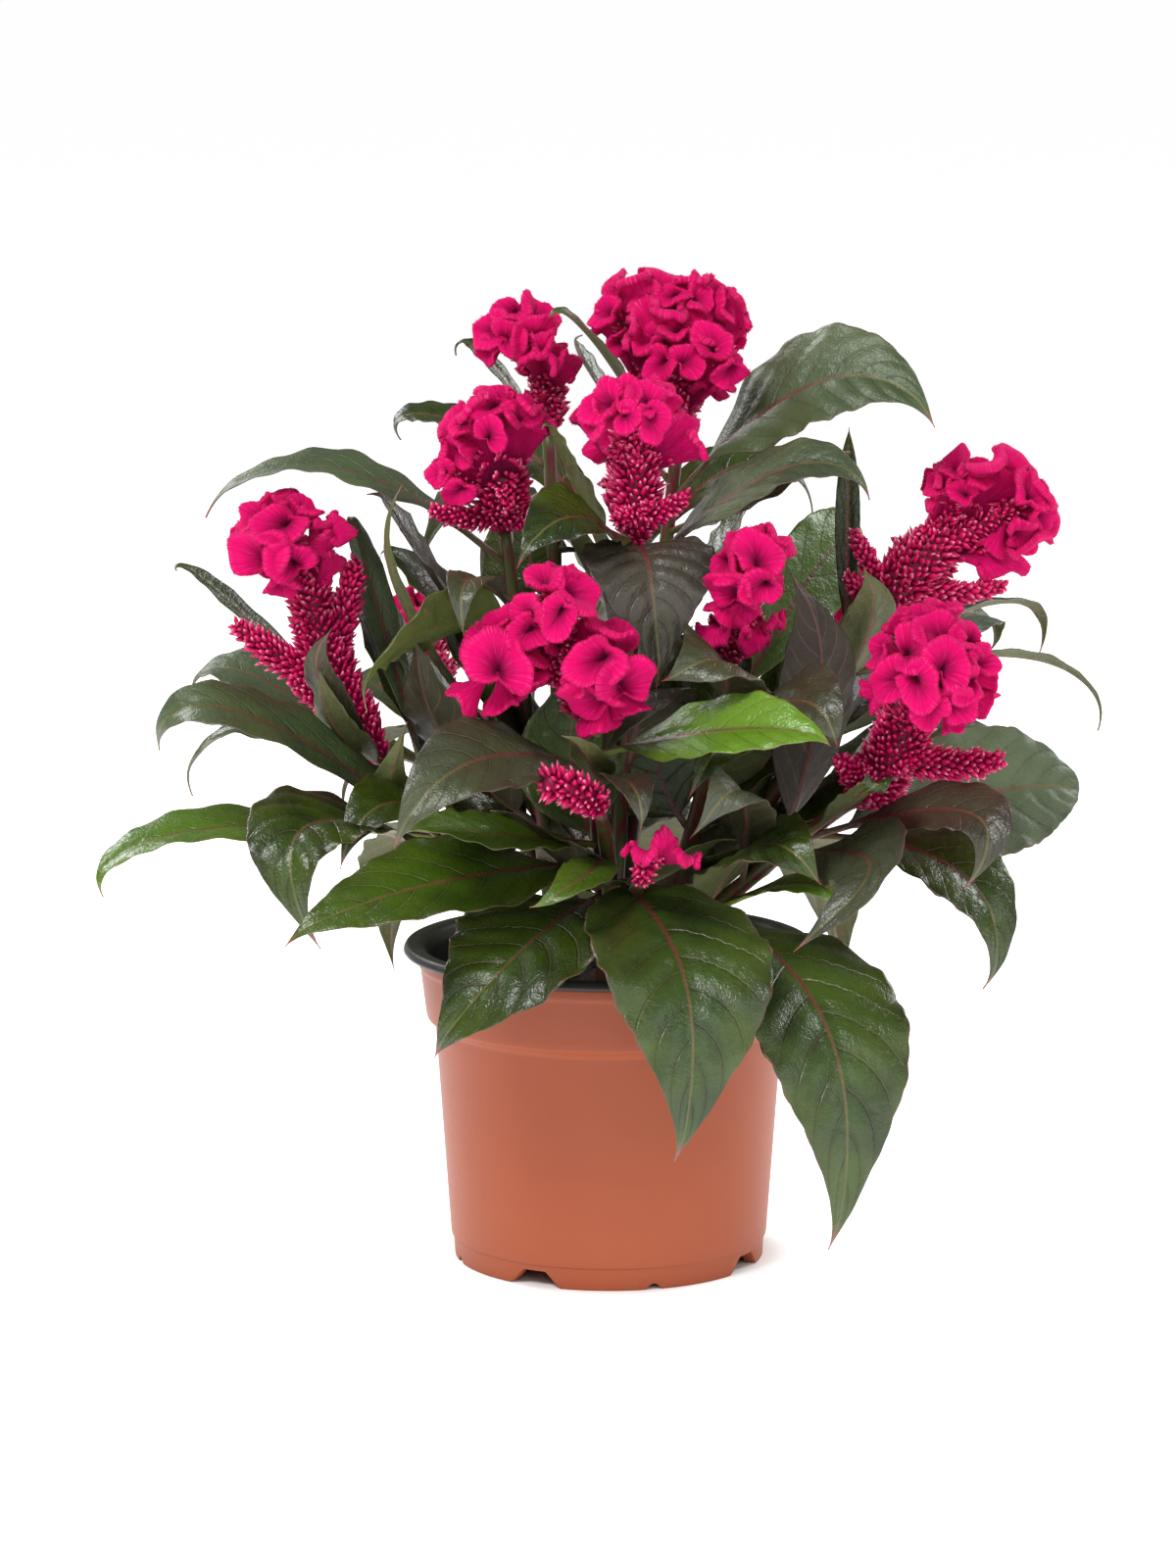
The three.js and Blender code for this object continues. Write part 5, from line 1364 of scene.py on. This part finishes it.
def ribbon(crest, s, v, rng):
    """The middle surface of a crest, at s along the rim and v from root to rim.

    The rim point is pulled towards the rim's own centre, and that centre towards the root, as v falls.
    To it come a swing to the side, lobe sin(2 pi waves s), and one along the rim, -lobe / 2 sin(4 pi
    waves s), where lobe grows with v^1.7. Near the rim come small ruffles to the side, and waves that
    raise and lower it.
    """
    waves, depth, root, spine = crest
    root = np.asarray(root, float)
    centre = np.mean(np.asarray(spine, float), axis=0)
    on, tangent = smooth_curve(spine, s)
    side = unit(np.cross(tangent, unit(on - root)))
    on, tangent, side = on[:, None], tangent[:, None], side[:, None]
    s, v = s[:, None], v[None, :]
    lift, spread = 1 - (1 - v) ** 3.2, 1 - (1 - CREST_GATHER) * (1 - v) ** 3
    angle = 2 * np.pi * waves * s
    lobe = depth * CREST_SWELL * v**1.7 * (1 + 0.2 * np.sin(11 * s + waves))
    swing, loop = lobe * np.sin(angle), -0.5 * lobe * np.sin(2 * angle)
    ruffle = RUFFLE * v**4 * mixed_waves(RUFFLES * angle, RUFFLE_WAVES, rng)
    rise = RIM_RISE * v**3 * mixed_waves(angle, RISE_WAVES, rng)
    return (root + (centre - root) * lift[..., None] + (on - centre) * spread[..., None]
            + side * (swing + ruffle)[..., None] + tangent * loop[..., None]
            + unit(on - root) * rise[..., None])


# %% A crest as a closed sheet
def add_crest(piece, crest, rng):
    """Adds a crest: the ribbon set off to both faces along its normal, joined over a round rim.

    Returns the ribbon with its normals and upward directions, which the florets stand on.
    """
    waves = crest[0]
    columns = int(np.ceil(CREST_COLUMNS * waves))
    s = np.linspace(0, 1, columns + 1)
    v = 1 - (1 - np.linspace(0, 1, CREST_ROWS)) ** 1.25
    sheet = ribbon(crest, s, v, rng)
    along, up = np.gradient(sheet, axis=0), unit(np.gradient(sheet, axis=1))
    normal = unit(np.cross(up, along))
    half = (CREST_THICKNESS + (RIM_THICKNESS - CREST_THICKNESS) * v)[None, :, None] / 2
    turn = np.linspace(0, np.pi, RIM_ROWS + 2)[1:-1, None]
    edge, edge_normal, edge_up = sheet[:, -1:], normal[:, -1:], up[:, -1:]
    cap = edge + (edge_normal * np.cos(turn) + edge_up * np.sin(turn)) * RIM_THICKNESS / 2
    loop = np.concatenate([sheet + normal * half, cap, (sheet - normal * half)[:, ::-1]], 1)

    step = np.linalg.norm(np.diff(sheet[:, -1], axis=0), axis=1)
    rim = np.concatenate([[0], np.cumsum(step)])
    high = np.linalg.norm(np.diff(sheet, axis=1), axis=2).sum(1).mean()
    # The height that the velvet's painted shade follows: 0 at the root, 1 over the rim.
    lift = 1 - (1 - v) ** 2.5
    heights = np.concatenate([lift, np.ones(RIM_ROWS), lift[::-1]])
    uv = np.stack(np.broadcast_arrays(s[:, None], heights, rim[:, None], heights * high), -1)
    around = loop.shape[1]
    faces = grid_faces(len(s), around, wrap=True)
    i = np.arange(around // 2 - 1)
    strip = np.stack([i, i + 1, around - 2 - i, around - 1 - i], 1)
    piece.add(loop, [faces, strip + columns * around, strip[:, ::-1]], VELVET, uv)
    fringe_crest(piece, sheet[:, -1], normal[:, -1], up[:, -1], int(rim[-1] / BRISTLE_PITCH), rng)
    return sheet, normal, up


# %% Bristles
def fringe_crest(piece, rim, normal, up, count, rng):
    """Rows of bristles along a rim, each row turned further over it: out = normal cos(turn) + up sin(turn)
    with some random lean. A bristle stands anywhere between two neighbouring points of the rim."""
    for turn in BRISTLE_TURNS:
        pick = rng.uniform(0, len(rim) - 1, count).astype(int)
        lean = rng.normal(0, BRISTLE_SPREAD, (count, 3))
        out = unit(normal[pick] * np.cos(turn) + up[pick] * np.sin(turn) + lean)
        foot = rim[pick] + (rim[pick + 1] - rim[pick]) * rng.random((count, 1))
        add_bristles(piece, foot + out * RIM_THICKNESS * 0.45, out, rng)


def beside(out, rng):
    """For each direction two unit ones square to it and to each other, turned about it at random."""
    side = unit(np.cross(out, rng.normal(size=out.shape)))
    return side, np.cross(side, out)


def add_bristles(piece, foot, out, rng):
    """Thin three-sided spikes: a foot triangle of radius BRISTLE_RADIUS and a tip along out."""
    count = len(foot)
    side, up = beside(out, rng)
    angle = np.radians([0, 120, 240])[None, :, None]
    ring = foot[:, None] + (side[:, None] * np.cos(angle) - up[:, None] * np.sin(angle)) * BRISTLE_RADIUS
    tip = foot + out * BRISTLE_LENGTH * rng.uniform(0.5, 1.2, (count, 1))
    points = np.concatenate([ring, tip[:, None]], 1)
    starts = 4 * np.arange(count)[:, None, None]
    faces = starts + np.array([[0, 1, 3], [1, 2, 3], [2, 0, 3], [2, 1, 0]])
    uv = np.zeros((count, 4, 4))
    uv[:, :, 0] = rng.random((count, 1))
    uv[:, :3, 1], uv[:, 3, 1] = BRISTLE_SHADES
    piece.add(points, [faces.reshape(-1, 3)], FLORET, uv)


# %% [markdown]
# ## Fans
#
# Where a crest folds most tightly it closes into trumpets. Each is a surface of one profile: from the heart
# of its cluster it widens to the rim, rolls over it and sinks into a throat. The radius is multiplied by an
# outline with one deep notch, the rim sinks at the notch and the throat is a slit beside it, so the mouth
# is folded like a shell and no two neighbours look like the same funnel.

# %% Sizes of fans
FAN_COLUMNS, FAN_OUTSIDE, FAN_INSIDE = 30, 6, 9
FAN_SWELL, FAN_DEPTH, FAN_TURN = 1.18, 1.0, 2.4
FAN_WAVE, FAN_NOTCH, NOTCH_ANGLE = 0.16, 0.46, 0.45
OUTLINE_WAVES = {3: 0.07, 7: 0.035}
MOUTH_WAVES = {3: 0.2, 5: 0.1, 11: 0.03}
FOLD_SINK, FOLD_ANGLE = 0.45, 0.85
SLIT_SHIFT, SLIT_SQUASH = 0.36, 0.55
FAN_BRISTLE_PITCH = 0.6
FAN_BRISTLE_RISES = (-0.1, 0.4, 1.0)


# %% One fan
def fan_profile(length, radius):
    """Rows of a fan, outside from heart to rim, three over the rim, and inside from rim to throat: share of
    its radius, distance below its mouth, height for the finish's painted shade (0 throat, 1 rim) and depth
    into the throat (0 rim, 1 throat). Outside the share is 0.12 + 0.88 s^1.9, inside the drop is FAN_DEPTH
    radius depth^1.7.
    """
    s = np.linspace(0, 1, FAN_OUTSIDE)
    inward = np.linspace(0, 0.95, FAN_INSIDE)
    out = np.concatenate([0.12 + 0.88 * s**1.9, [1.03, 1.0, 0.94], 0.86 * (1 - inward)])
    outside = length * (1 - s**0.9) + 0.22 * radius * s**2
    over = radius * np.array([0.13, 0.03, -0.02])
    drop = np.concatenate([outside, over, FAN_DEPTH * radius * inward**1.7])
    height = np.concatenate([0.2 + 0.75 * s, [1, 1, 1], 1 - inward])
    return out, drop, height, np.concatenate([np.zeros(FAN_OUTSIDE + 3), inward])


def ring_waves(angle, heights, turns):
    """The sum of height sin(n angle + turn) over the numbers n of waves round a ring."""
    return sum(height * np.sin(n * angle + turn) for (n, height), turn in zip(heights.items(), turns))


def add_fan(piece, heart, mouth, radius, turn, rng):
    """Adds a fan between its heart and its mouth, closed at both. At an angle from its notch a point is
    the mouth's centre + radius (toward cos + aside sin) - axis drop, where toward points to the notch."""
    axis, length = unit(mouth - heart), np.linalg.norm(mouth - heart)
    side, up = across(axis[None])
    toward = up * np.sin(turn) - side * np.cos(turn)
    aside = up * np.cos(turn) + side * np.sin(turn)
    out, drop, height, inward = (row[:, None] for row in fan_profile(length, radius))
    angle = np.linspace(0, 2 * np.pi, FAN_COLUMNS, endpoint=False)
    fold = np.minimum(angle, 2 * np.pi - angle)
    turns = rng.uniform(0, 6, len(OUTLINE_WAVES) + len(MOUTH_WAVES))
    notch = FAN_NOTCH * np.exp(-((fold / NOTCH_ANGLE) ** 2))
    outline = FAN_SWELL * (1 + FAN_WAVE * np.sin(2 * angle + turn) - notch
                           + ring_waves(angle, OUTLINE_WAVES, turns[:2]))
    ruffle = ring_waves(angle, MOUTH_WAVES, turns[2:]) - FOLD_SINK * np.exp(-((fold / FOLD_ANGLE) ** 2))
    size = radius * out * outline
    rings = (mouth + toward * (size * np.cos(angle) + SLIT_SHIFT * radius * inward)[..., None]
             + aside * (size * np.sin(angle) * (1 - SLIT_SQUASH * inward))[..., None]
             - axis * (drop - radius * out**2 * ruffle)[..., None])
    points, faces = closed_ends(rings)
    uv = np.broadcast_arrays((angle / 2 / np.pi)[None], height, (radius * fold)[None], drop)
    ends = [[0, 0.2, 0, 0], [0, 0, 0, 0]]
    piece.add(points, faces, VELVET, np.concatenate([np.stack(uv, -1).reshape(-1, 4), ends]))

    spokes = toward * np.cos(angle)[:, None] + aside * np.sin(angle)[:, None]
    count = int(2 * np.pi * radius / FAN_BRISTLE_PITCH)
    for row, rise in enumerate(FAN_BRISTLE_RISES, FAN_OUTSIDE - 1):
        pick = rng.integers(0, FAN_COLUMNS, count)
        after = (pick + 1) % FAN_COLUMNS
        foot = rings[row, pick] + (rings[row, after] - rings[row, pick]) * rng.random((count, 1))
        direction = unit(spokes[pick] + axis * rise + rng.normal(0, BRISTLE_SPREAD, (count, 3)))
        add_bristles(piece, foot, direction, rng)


# %% [markdown]
# ## Florets
#
# Florets sit on the column in the spiral of a sunflower: each is turned by the golden angle from the last,
# which spreads them evenly on any round body. One floret is a four-sided spindle of a few faces. Hundreds
# of them are placed with one array product: foot + out x length + side and up x thickness. The same
# function clothes columns, plumes, tufts, and the stalks and hearts of clusters.

# %% Sizes of florets
FLORET_SEED = 23
GOLDEN_ANGLE = np.pi * (3 - np.sqrt(5))
FLORET_PITCH = 2.2
FLORET_LENGTH, SHORTEST, LONGEST = 4.2, 0.65, 1.3
FLORET_STATIONS = np.array([0.0, 0.35, 0.7])
FLORET_RADII = np.array([0.6, 1.2, 0.75])
FLORET_ROOT = 1.6
FLORET_LEAN, LEAN_SPREAD = 0.75, 0.25
FOOT_SHARE = 0.16
print("florets on 10 cm2:", int(1000 / FLORET_PITCH**2))


# %% Placing florets
def add_florets(piece, foot, out, length, rng):
    """Adds a spindle at each foot along each out: three rings of four points and a pointed tip."""
    count = len(foot)
    side, up = beside(out, rng)
    angle = np.radians([0, 90, 180, 270])[None, None, :, None]
    shape = (FLORET_RADII[None] * rng.uniform(0.8, 1.2, (count, 1)))[:, :, None, None]
    along = (FLORET_STATIONS[None] * length[:, None])[:, :, None, None]
    rings = (foot[:, None, None] + out[:, None, None] * along
             + (side[:, None, None] * np.cos(angle) - 0.7 * up[:, None, None] * np.sin(angle)) * shape)
    tip = foot + out * length[:, None] + rng.normal(0, 0.2, (count, 3))
    points = np.concatenate([rings.reshape(count, 12, 3), tip[:, None]], 1)
    bands = grid_faces(3, 4, wrap=True)
    caps = np.array([[8, 9, 12], [9, 10, 12], [10, 11, 12], [11, 8, 12], [2, 1, 0], [3, 2, 0]])
    starts = 13 * np.arange(count)[:, None, None]
    uv = np.zeros((count, 13, 4))
    uv[:, :, 0] = rng.random((count, 1))
    uv[:, :, 1] = np.append(np.repeat(FLORET_STATIONS, 4), 1)
    piece.add(points, [(bands + starts).reshape(-1, 4), (caps + starts).reshape(-1, 3)], FLORET, uv)


def clothe(piece, points, tangents, radii, rng, lean=FLORET_LEAN):
    """Covers a round body with florets: as many as its area over pitch squared, evenly along its area,
    turned by the golden angle, each leaning from the outward direction towards the tip."""
    side, up = across(tangents)
    step = np.linalg.norm(np.diff(points, axis=0), axis=1)
    area = np.concatenate([[0], np.cumsum(2 * np.pi * step * (radii[1:] + radii[:-1]) / 2)])
    count = int(area[-1] / FLORET_PITCH**2)
    spot = np.interp((np.arange(count) + 0.5) / count * area[-1], area, np.arange(len(points)))

    def between(values):
        """The values at the spots, straight from each row to the next."""
        return np.stack([np.interp(spot, np.arange(len(points)), values[:, k]) for k in range(3)], 1)

    angle = (np.arange(count) * GOLDEN_ANGLE)[:, None]
    outward = unit(between(side) * np.cos(angle) + between(up) * np.sin(angle))
    leaning = np.clip(lean + rng.normal(0, LEAN_SPREAD, (count, 1)), 0, 3)
    out = unit(outward + unit(between(tangents)) * leaning)
    radius = np.interp(spot, np.arange(len(points)), radii)[:, None]
    length = FLORET_LENGTH * rng.uniform(SHORTEST, LONGEST, count) * np.clip(radius[:, 0] / 4, 0.6, 1)
    add_florets(piece, between(points) + outward * (radius - FLORET_ROOT).clip(0.2), out, length, rng)


def dress_foot(piece, sheet, normal, up, rng):
    """Florets on both faces of a crest's lower part, thinning out upwards. The chance of a point is the
    area about it times the share that its height keeps."""
    columns, rows = sheet.shape[:2]
    low = max(2, int(rows * FOOT_SHARE))
    wide, high = (np.linalg.norm(np.gradient(sheet, axis=axis), axis=2) for axis in (0, 1))
    weight = (wide * high * (1 - ease(np.arange(rows) / low, 0.35, 1.0))[None]).ravel()
    count = int(weight.sum() / FLORET_PITCH**2)
    for face in (1, -1):
        pick = rng.choice(len(weight), count, p=weight / weight.sum())
        i, j = np.unravel_index(pick, (columns, rows))
        out = unit(up[i, j] * 0.9 + normal[i, j] * face * 0.75 + rng.normal(0, 0.15, (count, 3)))
        foot = sheet[i, j] + normal[i, j] * face * 0.3
        add_florets(piece, foot, out, rng.uniform(2.2, 3.6, count), rng)


# %% [markdown]
# ## Putting a head together
#
# A head grows out of its stem without a step: its column leaves along the branch, and the rest of it starts
# on the column. Plumes are small side branches, and tufts are shorter still: clothed curves with no core,
# which break the column's outline below the fans. Each cluster of fans has its own clothed stalk and a
# round heart, from which the fans spread over half an ellipsoid, so their rims make one dome with deep gaps
# between them. Each head has a random generator with its own seed, so it comes out the same in every run.

# %% Sizes of clusters, columns and plumes
COVER = 1.2
CLUSTER_STALK_START, CLUSTER_STALK_ROWS = 0.8, 10
CLUSTER_STALK_CORE, CLUSTER_STALK_CLOTHED = 2.6, 3.6
KNOB_RADIUS, KNOB_ROWS, KNOB_LEAN = 3.6, 9, 0.1
TWIN_SHARE, TWIN_SPREAD, TWIN_REACH = 0.6, 1.2, 0.75
COLUMN_ROWS, COLUMN_START = 24, 0.3
TUFTS, TUFT_RADIUS, TUFT_LEAN, TUFT_SAG = 6, 2.1, 0.9, 0.8
TUFT_LOWEST, TUFT_SPAN, TUFT_RISE, TUFT_REACH = 0.15, 0.65, 0.7, (1.5, 4.5)
PLUME_LEAN, PLUME_SAG = 1.2, 2


# %% A cluster of fans
def add_cluster(piece, cluster, start, rng):
    """Adds a cluster: a stalk clothed with florets, a knob at the heart, and its fans. Each mouth is on half
    an ellipsoid about the heart; fans near its middle have a twin on the other side."""
    heart, span, reach, rows = cluster
    heart = np.asarray(heart, float)
    points, tangents = arc(start, (start + heart) / 2, heart, np.linspace(0, 1, CLUSTER_STALK_ROWS))
    piece.add(*tube(points, tangents, np.full(CLUSTER_STALK_ROWS, CLUSTER_STALK_CORE), 10), FLORET)
    clothe(piece, points, tangents, np.full(CLUSTER_STALK_ROWS, CLUSTER_STALK_CLOTHED), rng)
    level = np.linspace(-0.98, 0.98, KNOB_ROWS)
    ball, axis = heart + level[:, None] * [0, 0, KNOB_RADIUS], np.tile(UPWARDS, (KNOB_ROWS, 1))
    around = KNOB_RADIUS * np.sqrt(1 - level**2)
    piece.add(*tube(ball, axis, around, 12), FLORET)
    clothe(piece, ball, axis, around + COVER, rng, KNOB_LEAN)
    for index, (x, z, radius) in enumerate(rows):
        dx, dz = x - heart[0], z - heart[2]
        share = np.hypot(dx, dz) / span
        forward = reach * np.sqrt(max(0, 1 - share**2))
        add_fan(piece, heart, heart + [dx, -forward, dz], radius, FAN_TURN * index, rng)
        if share < TWIN_SHARE:
            behind = [dx * TWIN_SPREAD, forward * TWIN_REACH, dz * TWIN_SPREAD]
            add_fan(piece, heart, heart + behind, radius, FAN_TURN * (index + 0.5), rng)


# %% The column, its tufts and its plumes
def column_arc(name, share):
    """Points and tangents of a column's middle line: a Bezier curve from just above the branch's tip,
    leaving along the branch, to the neck."""
    tip, tangent = branch_arc(name, 1.0)
    neck = np.asarray(HEADS[name]["neck"], float)
    foot = tip + tangent * COLUMN_START
    return bezier(foot, foot + tangent * np.linalg.norm(neck - foot) / 2, neck, share)


def add_column(piece, name, rng):
    """The column, clothed with florets. It swells from 0.45 of its radius and draws in a little on top."""
    t = np.linspace(0, 1, COLUMN_ROWS)
    points, tangents = column_arc(name, t)
    radii = HEADS[name]["column"] * (0.45 + 0.55 * ease(t, 0, 0.25) - 0.15 * ease(t, 0.7, 1))
    piece.add(*tube(points, tangents, radii - COVER, 16), FLORET)
    clothe(piece, points, tangents, radii, rng)


def add_tuft(piece, name, k, rng):
    """The tuft number k of a column, turned by the golden angle from the last and higher up."""
    foot, heading = column_arc(name, TUFT_LOWEST + TUFT_SPAN * (k + rng.random()) / TUFTS)
    side, up = across(heading[None])
    turn = k * GOLDEN_ANGLE + rng.normal(0, 0.3)
    out = unit(side[0] * np.cos(turn) + up[0] * np.sin(turn) + heading * TUFT_RISE)
    end = foot + out * (HEADS[name]["column"] + rng.uniform(*TUFT_REACH))
    points, tangents = arc(foot, (foot + end) / 2 - [0, 0, TUFT_SAG], end, np.linspace(0, 1, COLUMN_ROWS))
    clothe(piece, points, tangents, np.full(COLUMN_ROWS, TUFT_RADIUS), rng, TUFT_LEAN)


def add_plume(piece, name, plume, rng):
    """A plume: a small clothed branch of the column, which narrows to a round end at its tip."""
    at, end, radius = plume
    foot = column_arc(name, at)[0]
    t = np.linspace(0, 1, COLUMN_ROWS)
    points, tangents = arc(foot, (foot + np.array(end)) / 2 - [0, 0, PLUME_SAG], end, t)
    radii = radius * (0.45 + 0.55 * np.sqrt(np.clip(1 - t**2, 0, 1)))
    piece.add(*tube(points, tangents, (radii - COVER).clip(0.5), 10), FLORET)
    clothe(piece, points, tangents, radii, rng, PLUME_LEAN)


# %% Flower heads, one piece each
def add_head(name):
    """One head: its column, tufts where it has fans, plumes, crests and clusters."""
    head = HEADS[name]
    rng = np.random.default_rng([FLORET_SEED, list(HEADS).index(name)])
    piece = Piece(f"celosia_head_{name}")
    add_column(piece, name, rng)
    for k in range(TUFTS if head["clusters"] else 0):
        add_tuft(piece, name, k, rng)
    for plume in head["plumes"]:
        add_plume(piece, name, plume, rng)
    for crest in head["crests"]:
        dress_foot(piece, *add_crest(piece, crest, rng), rng)
    for cluster in head["clusters"] + FRILLS.get(name, []):
        add_cluster(piece, cluster, column_arc(name, CLUSTER_STALK_START)[0], rng)
    piece.make("crest", f"head_{name}")


for name in HEADS:
    add_head(name)
